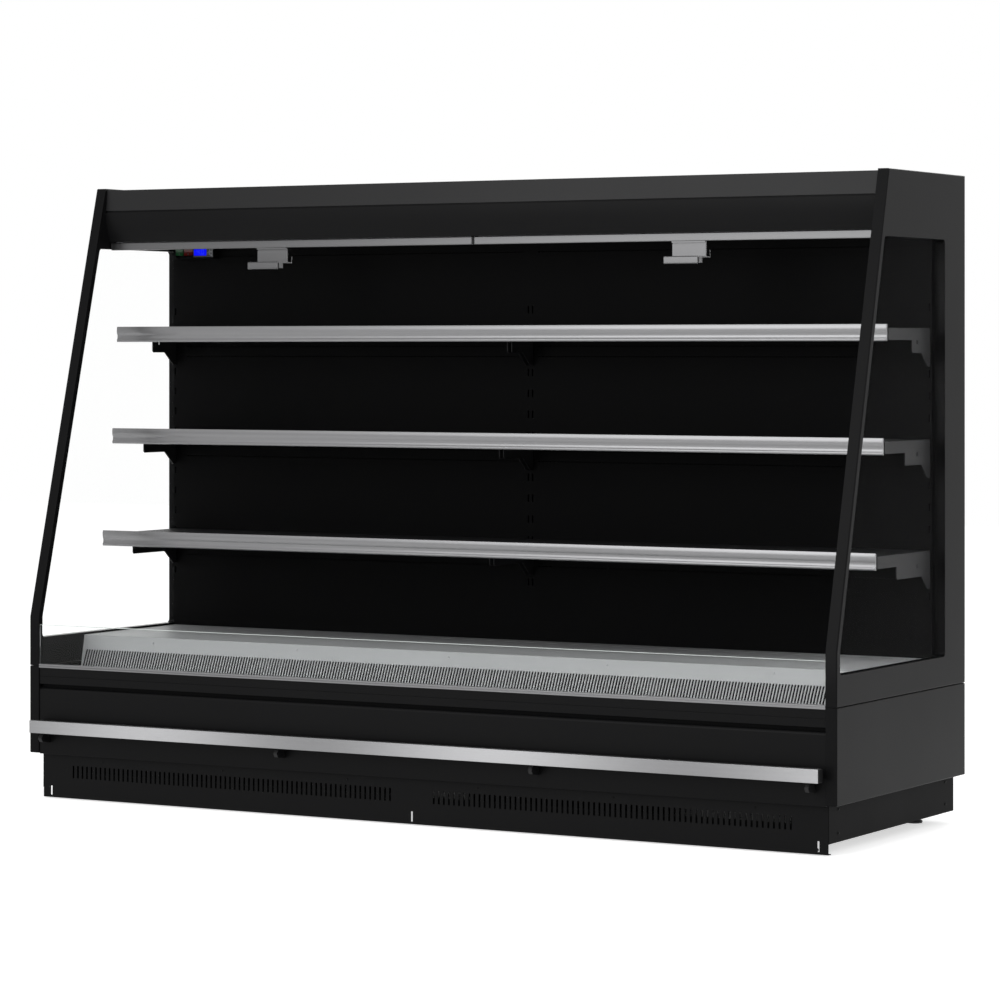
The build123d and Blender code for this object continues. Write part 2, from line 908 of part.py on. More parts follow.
condenser_mouth = condenser_front + condenser_depth / 2
liquid_height = machine_floor + condenser_height / 5
with BuildPart() as refrigerant_pipes:
    discharge = [
        spot(discharge_x, compressor_depth - stub_reach, discharge_height),
        spot(discharge_x, condenser_mouth, discharge_height),
        spot(condenser_left, condenser_mouth, discharge_height),
    ]
    pipe(discharge, pipe_radius)
    liquid = [
        spot(condenser_left, condenser_mouth, liquid_height),
        spot(liquid_riser_x, condenser_mouth, liquid_height),
        spot(liquid_riser_x, condenser_mouth, tub_bottom),
    ]
    pipe(liquid, pipe_radius)
    suction_start = spot(compressor_x, compressor_depth, shell_top)
    rod(suction_start, (0, 0, 1), pipe_radius + stub_wall, tub_bottom - shell_top)
refrigerant_pipes.part.label = "refrigerant_pipes"
export_step(refrigerant_pipes.part, "parts/refrigerant_pipes.step")


# ---- fans ----
def fan_rotor(place, hub_radius, tip_radius, hub_length, chord):
    """An axial fan about +Y with its hub's back face at place."""
    half_span = chord * cos(radians(blade_pitch)) / 2
    blade_top = (tip_radius**2 - half_span**2) ** 0.5
    with BuildPart() as rotor:
        rod(place, (0, -1, 0), hub_radius, hub_length)
        for index in range(fan_blade_count):
            turn = index * 360 / fan_blade_count
            outward = Vector(0, 0, 1).rotate(Axis.Y, turn)
            across = Vector(1, 0, 0).rotate(Axis.Y, turn)
            root = place + Vector(0, -hub_length / 2, 0) + outward * (hub_radius - blade_root)
            with BuildSketch(Plane(origin=root, x_dir=across, z_dir=outward)) as blade:
                Rectangle(chord, blade_thickness, rotation=blade_pitch)
            extrude(blade.sketch, amount=blade_top - hub_radius + blade_root)
    return rotor.part


hub_back = fan_plate_depth + evaporator_hub_length / 2
for name, x in fan_places.items():
    rotor = fan_rotor(
        spot(x, hub_back, fan_height),
        evaporator_hub_radius,
        evaporator_fan_radius,
        evaporator_hub_length,
        evaporator_blade_chord,
    )
    rotor.label = f"evaporator_fan_{name}"
    export_step(rotor, f"parts/evaporator_fan_{name}.step")

condenser_hub_back = shroud_rear + condenser_hub_gap
rotor = fan_rotor(
    spot(condenser_middle, condenser_hub_back, condenser_fan_height),
    condenser_hub_radius,
    condenser_fan_radius,
    condenser_hub_length,
    condenser_blade_chord,
)
rotor.label = "condenser_fan"
export_step(rotor, "parts/condenser_fan.step")


def motor_and_strap(x, back, height, seat, reach):
    """A motor just behind a fan's hub, on a strap that stands off the seat."""
    front = back + motor_gap
    half = motor_size / 2
    block(x - half, x + half, front, front + motor_length, height - half, height + half)
    leg = strap_half_width
    strap_front = front + strap_setback
    strap_rear = strap_front + strap_thickness
    block(x - leg, x + leg, strap_front, strap_rear, height - reach - leg, height + reach + leg)
    for end in (height - reach - leg, height + reach):
        block(x - leg, x + leg, seat, strap_front, end, end + leg)


with BuildPart() as fan_motors:
    for x in fan_places.values():
        seat = fan_plate_depth + sheet
        motor_and_strap(x, hub_back, fan_height, seat, evaporator_fan_radius + ring_gap + 2)
    reach = condenser_fan_radius + ring_gap + 2
    motor_and_strap(condenser_middle, condenser_hub_back, condenser_fan_height, shroud_rear, reach)
fan_motors.part.label = "fan_motors"
export_step(fan_motors.part, "parts/fan_motors.step")

# ---- uprights and back panels ----
upright_places = (upright_width / 2 - half_inner, 0, half_inner - upright_width / 2)
bracket_end_offset = half_inner - shelf_end_gap - bracket_thickness / 2
hook_columns = (-bracket_end_offset, -centre_bracket_offset, centre_bracket_offset, bracket_end_offset)
first_surface = lowest_rail_top - rail_lip
first_slot_bottom = first_surface - hook_inset - hook_height / 2
with BuildPart() as shelf_uprights:
    for x in upright_places:
        start, end = x - upright_width / 2, x + upright_width / 2
        block(start, end, upright_front, back_wall_front, tub_well, top_underside)
        block(
            start + upright_wall,
            end - upright_wall,
            upright_front + upright_wall,
            back_wall_front,
            tub_well,
            top_underside,
            Mode.SUBTRACT,
        )
    with BuildSketch(facing_front(upright_front)) as slots:
        for x in hook_columns:
            for index in range(upright_slot_count):
                rise = (index - slot_count_below_hook) * slot_pitch
                middle = first_slot_bottom + upright_slot_height / 2 + rise
                with Locations((x, middle)):
                    Rectangle(upright_slot_width, upright_slot_height)
    extrude(slots.sketch, amount=-upright_wall, mode=Mode.SUBTRACT)
shelf_uprights.part.label = "shelf_uprights"
export_step(shelf_uprights.part, "parts/shelf_uprights.step")

with BuildPart() as back_panels:
    for side in (-1, 1):
        near, far = side * upright_width / 2, side * (half_inner - upright_width)
        flange_rear = upright_front + back_panel_flange
        block(near, far, upright_front, upright_front + tray_sheet, deck_top, ceiling_underside - fit)
        for edge, inward in ((near, side), (far, -side)):
            block(
                edge,
                edge + inward * tray_sheet,
                upright_front,
                flange_rear,
                deck_top,
                ceiling_underside - fit,
            )
back_panels.part.label = "back_panels"
export_step(back_panels.part, "parts/back_panels.step")


# ---- shelves ----
def bracket_outline(front, step, surface):
    """A shelf bracket from the side, with two hooks behind the upright."""
    bottom = surface - bracket_rear_drop
    arm_bottom = surface - tray_height
    deep = surface - bracket_drop
    slope_start = upright_front - bracket_slope_start
    slope_end = upright_front - bracket_slope_end
    web_rear = upright_front + upright_wall + fit
    corners = [
        (front, arm_bottom),
        (step, arm_bottom),
        (step, deep + bracket_corner),
        (step + bracket_corner, deep),
        (slope_start, deep),
        (slope_end, bottom),
        (upright_front, bottom),
    ]
    upper_neck = surface - hook_inset - hook_height / 2
    for neck_bottom in (upper_neck - slot_pitch, upper_neck):
        leg_rear = web_rear + hook_reach - hook_height / 2
        corners += [
            (upright_front, neck_bottom),
            (web_rear, neck_bottom),
            (web_rear, neck_bottom - hook_drop),
            (leg_rear, neck_bottom - hook_drop),
            (leg_rear, neck_bottom + hook_height),
            (upright_front, neck_bottom + hook_height),
        ]
    return corners + [(upright_front, surface), (front, surface)]


def price_rail(front, top, half_length):
    """A price rail: a crowned band, a hollow below it and a rounded lower lip."""
    rear = front + price_rail_depth
    crown, inset = front + rail_crown, front + rail_step
    band = top - rail_band_height
    hollow_top = band - rail_step_height
    hollow_foot = hollow_top - rail_hollow_height
    bottom = top - price_rail_height
    with BuildSketch(along_x(-half_length)) as section:
        with BuildLine():
            Line((rear, top), (crown, top))
            ThreePointArc((crown, top), (front, (top + band) / 2), (crown, band))
            Line((crown, band), (inset, hollow_top))
            hollow_middle = (front + rail_hollow, (hollow_top + hollow_foot) / 2)
            ThreePointArc((inset, hollow_top), hollow_middle, (inset, hollow_foot))
            lip_middle = (front + rail_lip_inset, (hollow_foot + bottom) / 2)
            ThreePointArc((inset, hollow_foot), lip_middle, (inset, bottom))
            Polyline((inset, bottom), (rear, bottom), (rear, top))
        make_face()
    extrude(section.sketch, amount=2 * half_length)


rail_clip_depth = 12
for index, level in enumerate(shelf_depths):
    rail_top_height = lowest_rail_top + index * pitches_per_shelf * slot_pitch
    surface = rail_top_height - rail_lip
    rail_front = upright_front - shelf_depths[level]
    tray_front = rail_front + price_rail_depth

    with BuildPart() as shelf:
        for side in (-1, 1):
            near = side * (centre_bracket_offset + bracket_thickness / 2 + fit)
            far = side * (bracket_end_offset - bracket_thickness / 2 - fit)
            tray_rear = upright_front - shelf_rear_gap
            block(near, far, tray_front, tray_rear, surface - tray_height, surface)
        undersides = shelf.faces().filter_by(Axis.Z).group_by(Axis.Z)[0]
        offset(amount=-tray_sheet, openings=undersides)
        arm_end = rail_front + arm_lengths[level]
        outline = bracket_outline(tray_front + rail_clip_depth, arm_end, surface)
        for x in hook_columns:
            profile(outline, x - bracket_thickness / 2, x + bracket_thickness / 2)
        with BuildSketch(along_x(-half_inner)) as slot:
            with Locations((upright_front - bracket_slot_inset, surface - bracket_slot_drop)):
                Rectangle(bracket_slot_width, bracket_slot_height)
        extrude(slot.sketch, amount=2 * half_inner, mode=Mode.SUBTRACT)
    shelf.part.label = f"shelf_{level}"
    export_step(shelf.part, f"parts/shelf_{level}.step")

    with BuildPart() as ticket_rail:
        price_rail(rail_front, rail_top_height, half_inner - rail_end_gap)
    ticket_rail.part.label = f"ticket_rail_{level}"
    export_step(ticket_rail.part, f"parts/ticket_rail_{level}.step")

# ---- canopy ----
seam_height = top_underside - fascia_seam
with BuildPart() as canopy_fascia:
    with BuildSketch(along_x(-panel_half)) as folded:
        with BuildLine():
            top_edge = fascia_front + fascia_seam_depth
            Polyline(
                (top_edge + fascia_flange, top_underside),
                (top_edge, top_underside),
                (top_edge, seam_height),
                (fascia_front, seam_height),
            )
            roll_foot = (fascia_front + fascia_tuck, fascia_bottom)
            TangentArc((fascia_front, seam_height), roll_foot, tangent=(0, -1))
            offset(amount=sheet, side=Side.LEFT)
        make_face()
    extrude(folded.sketch, amount=2 * panel_half)
canopy_fascia.part.label = "canopy_fascia"
export_step(canopy_fascia.part, "parts/canopy_fascia.step")

honeycomb_rear = honeycomb_front + honeycomb_depth
honeycomb_top = ceiling_top + honeycomb_height
with BuildPart() as ceiling_panel:
    block(-half_inner, half_inner, ceiling_front, upright_front - fit, ceiling_underside, ceiling_top)
    block(-half_inner, half_inner, honeycomb_rear, honeycomb_rear + sheet, ceiling_top, honeycomb_top)
    duct_front = [
        (duct_plate_depth + duct_flange, top_underside),
        (duct_plate_depth, top_underside),
        (duct_plate_depth, ceiling_underside),
        (duct_plate_depth + duct_foot, ceiling_underside),
    ]
    bent_sheet(duct_front, sheet, -half_inner, half_inner)
ceiling_panel.part.label = "ceiling_panel"
export_step(ceiling_panel.part, "parts/ceiling_panel.step")

with BuildPart() as air_honeycomb:
    block(-panel_half, panel_half, honeycomb_front, honeycomb_rear, ceiling_top, honeycomb_top)
    cell_pitch = 2 * panel_half / honeycomb_cells
    grid_plane = Plane(origin=spot(0, honeycomb_front + honeycomb_depth / 2, ceiling_top))
    with BuildSketch(grid_plane) as cells:
        with GridLocations(cell_pitch, 1, honeycomb_cells, 1):
            Rectangle(cell_pitch - honeycomb_wall, honeycomb_depth - 2 * honeycomb_wall)
    extrude(cells.sketch, amount=honeycomb_height, mode=Mode.SUBTRACT)
air_honeycomb.part.label = "air_honeycomb"
export_step(air_honeycomb.part, "parts/air_honeycomb.step")

with BuildPart() as lamp:
    lamp_half = half_inner - lamp_end_gap
    lamp_bottom = ceiling_underside - lamp_height
    block(-lamp_half, lamp_half, lamp_front, lamp_front + lamp_depth, lamp_bottom, ceiling_underside)
    fillet(lamp.faces().sort_by(Axis.Z)[0].edges().filter_by(Axis.X), radius=lamp_round)
lamp.part.label = "lamp"
export_step(lamp.part, "parts/lamp.step")

# ---- night blinds ----
bracket_places = [
    (-half_inner, end_bracket_width - half_inner),
    (-middle_bracket_width / 2, middle_bracket_width / 2),
    (half_inner - end_bracket_width, half_inner),
]
with BuildPart() as blind_brackets:
    for start, end in bracket_places:
        with BuildSketch(along_x(start)) as plate:
            plate_height = top_underside - roller_height
            plate_middle = roller_height + plate_height / 2 - roller_pin_radius
            with Locations((roller_depth, plate_middle)):
                Rectangle(2 * roller_bracket_half_depth, plate_height + 2 * roller_pin_radius)
            with Locations((roller_depth, roller_height)):
                Circle(roller_pin_radius + pin_fit, mode=Mode.SUBTRACT)
        extrude(plate.sketch, amount=end - start)
blind_brackets.part.label = "blind_brackets"
export_step(blind_brackets.part, "parts/blind_brackets.step")

tab_bottom = bar_bottom - handle_tab
plate_top = tab_bottom - handle_groove
plate_front = bar_front + handle_step
plate_rear = plate_front + handle_plate
groove_rear = bar_front + handle_groove_depth
hook_rear = plate_front + handle_hook_reach
grip_rear = grip_front + grip_depth
grip_top = grip_bottom + grip_height
grip_web = grip_top - grip_skin
hook_top = grip_web + handle_hook_height
notch_front = grip_front + grip_skin
notch_rear = notch_front + grip_notch
handle_outline = [
    (plate_rear, bar_bottom),
    (bar_front, bar_bottom),
    (bar_front, tab_bottom),
    (groove_rear, tab_bottom),
    (groove_rear, plate_top),
    (plate_front, plate_top),
    (plate_front, grip_top),
    (grip_front, grip_top),
    (grip_front, grip_bottom),
    (notch_front, grip_bottom),
    (notch_front, grip_web),
    (notch_rear, grip_web),
    (notch_rear, grip_bottom + grip_skin),
    (grip_rear, grip_bottom + grip_skin),
    (grip_rear, grip_web),
    (hook_rear, grip_web),
    (hook_rear, hook_top),
    (hook_rear - grip_skin, hook_top),
    (hook_rear - grip_skin, grip_top),
    (plate_rear, grip_top),
]
curtain_depth = roller_depth - roll_radius - curtain_gap - curtain_thickness
for side_name, side in (("left", -1), ("right", 1)):
    near = side * (middle_bracket_width / 2 + roller_side_gap)
    far = side * (half_inner - end_bracket_width - roller_side_gap)
    with BuildPart() as blind_roller:
        rod(spot(near, roller_depth, roller_height), (side, 0, 0), roll_radius, abs(far - near))
        rod(spot(near, roller_depth, roller_height), (-side, 0, 0), roller_pin_radius, roller_pin_length)
        rod(spot(far, roller_depth, roller_height), (side, 0, 0), roller_pin_radius, roller_pin_length)
    blind_roller.part.label = f"blind_roller_{side_name}"
    export_step(blind_roller.part, f"parts/blind_roller_{side_name}.step")

    with BuildPart() as blind_curtain:
        curtain_near, curtain_far = near + side * curtain_side_gap, far - side * curtain_side_gap
        curtain_rear = curtain_depth + curtain_thickness
        block(curtain_near, curtain_far, curtain_depth, curtain_rear, bar_top, roller_height)
    blind_curtain.part.label = f"blind_curtain_{side_name}"
    export_step(blind_curtain.part, f"parts/blind_curtain_{side_name}.step")

    with BuildPart() as blind_bar:
        start, end = side * bar_end_gap, side * (half_inner - bar_side_gap)
        inner_front, inner_rear = bar_front + bar_wall, bar_front + bar_depth - bar_wall
        block(start, end, bar_front, bar_front + bar_depth, bar_bottom, bar_top)
        block(
            start,
            end,
            inner_front,
            inner_rear,
            bar_bottom + bar_wall,
            bar_top - bar_wall,
            Mode.SUBTRACT,
        )
        middle = side * handle_centre
        profile(handle_outline, middle - handle_width / 2, middle + handle_width / 2)
    blind_bar.part.label = f"blind_bar_{side_name}"
    export_step(blind_bar.part, f"parts/blind_bar_{side_name}.step")

# ---- control box, rockers, controller and buttons ----
control_left = control_inset - half_inner
control_right = control_left + control_width
control_rear = upright_front - fit
control_front = control_rear - control_depth
control_bottom = ceiling_underside - control_height
control_middle = (control_bottom + ceiling_underside) / 2
pivot_depth = control_front + rocker_pivot_depth
rocker_gap = 0.3
lamp_pocket = (control_left + rocker_wall, control_left + rocker_wall + lamp_rocker_width)
power_start = lamp_pocket[1] + rocker_spacing
power_pocket = (power_start, power_start + power_rocker_width)
controller_start = power_pocket[1] + rocker_wall
controller_end = controller_start + controller_width
with BuildPart() as control_box:
    block(control_left, control_right, control_front, control_rear, control_bottom, ceiling_underside)
    for start, end in (lamp_pocket, power_pocket):
        opening = rocker_half_height + rocker_clearance
        block(
            start,
            end,
            control_front,
            control_front + rocker_pocket_depth,
            control_middle - opening,
            control_middle + opening,
            Mode.SUBTRACT,
        )
    block(
        controller_start,
        controller_end,
        control_front,
        control_front + controller_depth,
        control_middle - controller_height / 2,
        control_middle + controller_height / 2,
        Mode.SUBTRACT,
    )
control_box.part.label = "control_box"
export_step(control_box.part, "parts/control_box.step")

bezel_depth = control_front - controller_reach
display_start = controller_start + display_inset
button_centre = (display_start + display_width + controller_end) / 2
half_button = button_spacing / 2
button_places = {
    "set": (button_centre - half_button, control_middle + half_button),
    "up": (button_centre + half_button, control_middle + half_button),
    "defrost": (button_centre - half_button, control_middle - half_button),
    "down": (button_centre + half_button, control_middle - half_button),
}
with BuildPart() as controller:
    block(
        controller_start,
        controller_end,
        bezel_depth,
        control_front + controller_depth,
        control_middle - controller_height / 2,
        control_middle + controller_height / 2,
    )
    block(
        display_start,
        display_start + display_width,
        bezel_depth,
        bezel_depth + display_recess,
        control_middle - display_height / 2,
        control_middle + display_height / 2,
        Mode.SUBTRACT,
    )
    for x, height in button_places.values():
        half = button_size / 2 + button_fit
        front, rear = bezel_depth, bezel_depth + button_length + display_recess
        block(x - half, x + half, front, rear, height - half, height + half, Mode.SUBTRACT)
controller.part.label = "controller"
export_step(controller.part, "parts/controller.step")

for name, (x, height) in button_places.items():
    with BuildPart() as button:
        half = button_size / 2
        front = bezel_depth - button_reach
        block(x - half, x + half, front, front + button_length, height - half, height + half)
        chamfer(button.faces().sort_by(Axis.Y)[0].edges(), length=button_chamfer)
    button.part.label = f"button_{name}"
    export_step(button.part, f"parts/button_{name}.step")

rocker_outline = [
    (-9, -rocker_half_height),
    (-6, 0),
    (-5.5, rocker_half_height),
    (6, rocker_half_height - 2.5),
    (6, 2.5 - rocker_half_height),
]
rocker_corners = [(pivot_depth + forward, control_middle + up) for forward, up in rocker_outline]
for name, (start, end) in {"lamp": lamp_pocket, "power": power_pocket}.items():
    with BuildPart() as rocker:
        profile(rocker_corners, start + rocker_gap, end - rocker_gap)
    rocker.part.label = f"{name}_switch"
    export_step(rocker.part, f"parts/{name}_switch.step")
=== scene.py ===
"""Open multideck display fridge: fine parts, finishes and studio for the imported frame."""

import json
import math
from functools import partial

import bmesh
import bpy
from bpy.props import FloatProperty, FloatVectorProperty, IntProperty, PointerProperty
from bpy.types import Operator, Panel, PropertyGroup
from mathutils import Matrix, Vector


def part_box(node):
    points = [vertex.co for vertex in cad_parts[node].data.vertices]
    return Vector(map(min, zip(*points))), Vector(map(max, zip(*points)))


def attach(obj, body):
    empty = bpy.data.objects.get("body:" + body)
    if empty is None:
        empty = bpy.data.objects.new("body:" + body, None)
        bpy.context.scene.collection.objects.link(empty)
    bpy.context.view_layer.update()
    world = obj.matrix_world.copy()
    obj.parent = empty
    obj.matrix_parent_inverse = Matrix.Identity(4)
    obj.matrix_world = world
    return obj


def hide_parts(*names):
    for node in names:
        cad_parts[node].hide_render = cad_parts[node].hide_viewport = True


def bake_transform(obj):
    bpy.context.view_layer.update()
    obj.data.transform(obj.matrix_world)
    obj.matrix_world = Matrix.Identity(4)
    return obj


bl_info = {
    "name": "Open Multideck Display Fridge",
    "version": (1, 0, 0),
    "blender": (4, 5, 0),
    "location": "3D View > Sidebar > Fridge",
    "description": "Dresses the packed fridge with fine parts, finishes and a studio",
    "category": "Object",
}

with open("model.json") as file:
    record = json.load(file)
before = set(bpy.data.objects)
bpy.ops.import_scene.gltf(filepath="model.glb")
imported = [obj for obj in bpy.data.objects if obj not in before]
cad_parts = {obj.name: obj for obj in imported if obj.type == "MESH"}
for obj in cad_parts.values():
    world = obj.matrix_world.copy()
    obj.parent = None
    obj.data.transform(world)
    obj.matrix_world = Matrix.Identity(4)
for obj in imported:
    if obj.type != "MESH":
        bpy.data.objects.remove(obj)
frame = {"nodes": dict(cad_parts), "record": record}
BODIES = frame["record"]["behaviour"]["bodies"]
BODY_OF = {node: body for body, nodes in BODIES.items() for node in nodes}
SLOT_OF = {part["node"]: part["material_slot"] for part in frame["record"]["subparts"]}
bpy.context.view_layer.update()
SIDES = {"left": -1, "right": 1}
MATERIALS = {}
TREES = {}
COUNT, LENGTH, SHAPE = "NodeSocketInt", "NodeSocketFloat", "NodeSocketGeometry"
ALONG, DEEP, UP = (1, 0, 0), (0, 1, 0), (0, 0, 1)


# ---- node trees ----
def add_node(tree, kind, inputs=None, **settings):
    """Adds a node and fills its inputs. A node given as an input stands for its first output."""
    node = tree.nodes.new(kind)
    for name, value in settings.items():
        setattr(node, name, value)
    for name, value in (inputs or {}).items():
        for item in value if isinstance(value, list) else [value]:
            if isinstance(item, bpy.types.Node):
                item = item.outputs[0]
            if isinstance(item, bpy.types.NodeSocket):
                tree.links.new(item, node.inputs[name])
            else:
                node.inputs[name].default_value = item
    return node


def new_tree(name, kind, inputs, outputs):
    """Starts a node group with named sockets, and returns it with the values it is given."""
    tree = bpy.data.node_groups.new(name, kind)
    for in_out, sockets in (("INPUT", inputs), ("OUTPUT", outputs)):
        for label, socket_type in sockets.items():
            tree.interface.new_socket(label, in_out=in_out, socket_type=socket_type)
    return tree, add_node(tree, "NodeGroupInput").outputs


# ---- finishes ----
def remap(tree, value, low, high):
    """Spreads a 0 to 1 value over a range."""
    return add_node(tree, "ShaderNodeMapRange", {"Value": value, "To Min": low, "To Max": high})


def noise(tree, place, scale, detail=2.0, roughness=0.5):
    inputs = {"Vector": place, "Scale": scale, "Detail": detail, "Roughness": roughness}
    return add_node(tree, "ShaderNodeTexNoise", inputs).outputs["Fac"]


def new_pattern(name, *inputs):
    """Starts a shader group that puts out a height and a patch value."""
    outputs = dict.fromkeys(("Height", "Patch"), LENGTH)
    tree, given = new_tree(name, "ShaderNodeTree", dict.fromkeys(inputs, LENGTH), outputs)
    return tree, given, add_node(tree, "ShaderNodeTexCoord").outputs["Object"]


def end_pattern(tree, height, patch):
    add_node(tree, "NodeGroupOutput", {"Height": height, "Patch": patch})
    return tree


def powder_coat_group():
    """Orange peel of a powder coat, with broad patches and fine specks."""
    tree, given, place = new_pattern("Powder coat", "Grain", "Patches")
    grain = given["Grain"]
    speck = add_node(tree, "ShaderNodeTexVoronoi", {"Vector": place, "Scale": grain})
    heights = {0: noise(tree, place, grain, 1.0), 1: remap(tree, speck, 0.0, 0.35)}
    raised = add_node(tree, "ShaderNodeMath", heights, operation="ADD")
    return end_pattern(tree, raised, noise(tree, place, given["Patches"], 3.0))


def brushed_group():
    """Long fine scratches along the case for drawn metal, with optional broad bands of painted
    reflection.
    """
    tree, given, place = new_pattern("Brushed metal", "Grain", "Length", "Reflection Bands")
    grain = given["Grain"]
    stretch = add_node(tree, "ShaderNodeCombineXYZ", {"X": given["Length"], "Y": grain, "Z": grain})
    drawn = add_node(tree, "ShaderNodeMapping", {"Vector": place, "Scale": stretch})
    streak = noise(tree, drawn, 1.0, 4.0, 0.65)
    limits = {"Value": streak, "From Min": 0.3, "From Max": 0.7}
    # Painted reflection: broad light and dark bands along X, placed where the bumper shows
    # reflections; their share is zero on every other metal.
    wave = {"Vector": place, "Scale": 0.314, "Distortion": 0.4, "Phase Offset": 1.5}
    rolled = add_node(tree, "ShaderNodeTexWave", wave, bands_direction="X").outputs["Fac"]
    share = {0: given["Reflection Bands"], 2: noise(tree, drawn, 0.12), 3: rolled}
    scratch = add_node(tree, "ShaderNodeMapRange", limits)
    return end_pattern(tree, scratch, add_node(tree, "ShaderNodeMix", share))


def spangle_group():
    """Zinc crystals of galvanised sheet."""
    tree, given, place = new_pattern("Zinc spangle", "Grain", "Patches")
    cells = add_node(tree, "ShaderNodeTexVoronoi", {"Vector": place, "Scale": given["Patches"]})
    shades = add_node(tree, "ShaderNodeSeparateColor", {"Color": cells.outputs["Color"]})
    return end_pattern(tree, noise(tree, place, given["Grain"]), shades)


def weave_group():
    """Crossed threads of the blind's cloth."""
    tree, given, place = new_pattern("Blind weave", "Grain", "Patches")
    wave = {"Vector": place, "Scale": given["Grain"], "Distortion": 0.4}
    threads = {
        index: add_node(tree, "ShaderNodeTexWave", wave, bands_direction=direction).outputs["Fac"]
        for index, direction in enumerate("XZ")
    }
    woven = add_node(tree, "ShaderNodeMath", threads, operation="MAXIMUM")
    return end_pattern(tree, woven, noise(tree, place, given["Patches"]))


def new_material(name):
    material = bpy.data.materials.new(name)
    material.use_nodes = True
    material.node_tree.nodes.clear()
    return material, material.node_tree


def between(tree, amount, first, second):
    """A colour between two, by an amount from 0 to 1."""
    colours = {0: amount, 6: (*first, 1), 7: (*second, 1)}
    return add_node(tree, "ShaderNodeMix", colours, data_type="RGBA").outputs[2]


def surface(name, group, colours, roughness, grain, patches, relief, bands=0.0, **plain):
    """A Principled material whose colour, gloss and relief follow a shared group."""
    material, tree = new_material(name)
    pattern = add_node(tree, "ShaderNodeGroup", node_tree=group)
    for socket, value in zip(pattern.inputs, (grain, patches, bands)):
        socket.default_value = value
    patch, height = pattern.outputs["Patch"], pattern.outputs["Height"]
    look = {
        "Base Color": between(tree, patch, *colours),
        "Roughness": remap(tree, patch, *roughness),
        "Normal": add_node(
            tree, "ShaderNodeBump", {"Height": height, "Distance": relief, "Strength": 0.6}
        ),
        **plain,
    }
    shader = add_node(tree, "ShaderNodeBsdfPrincipled", look)
    add_node(tree, "ShaderNodeOutputMaterial", {"Surface": shader})
    return material


def glass_material(name, colour, bend):
    """Clear glass that lets shadow rays through."""
    material, tree = new_material(name)
    place = add_node(tree, "ShaderNodeTexCoord").outputs["Object"]
    tint = between(tree, noise(tree, place, 9.0), colour, shade(colour, 0.995))
    look = {"Base Color": tint, "Roughness": 0.0, "Transmission Weight": 1.0, "IOR": bend}
    glass = add_node(tree, "ShaderNodeBsdfPrincipled", look)
    clear = add_node(tree, "ShaderNodeBsdfTransparent")
    shadow = add_node(tree, "ShaderNodeLightPath").outputs["Is Shadow Ray"]
    mixed = add_node(tree, "ShaderNodeMixShader", {0: shadow, 1: glass, 2: clear})
    add_node(tree, "ShaderNodeOutputMaterial", {"Surface": mixed})
    return material


def shade(colour, factor):
    return tuple(channel * factor for channel in colour)


def tones(colour, low, high):
    return [shade(colour, low), shade(colour, high)]


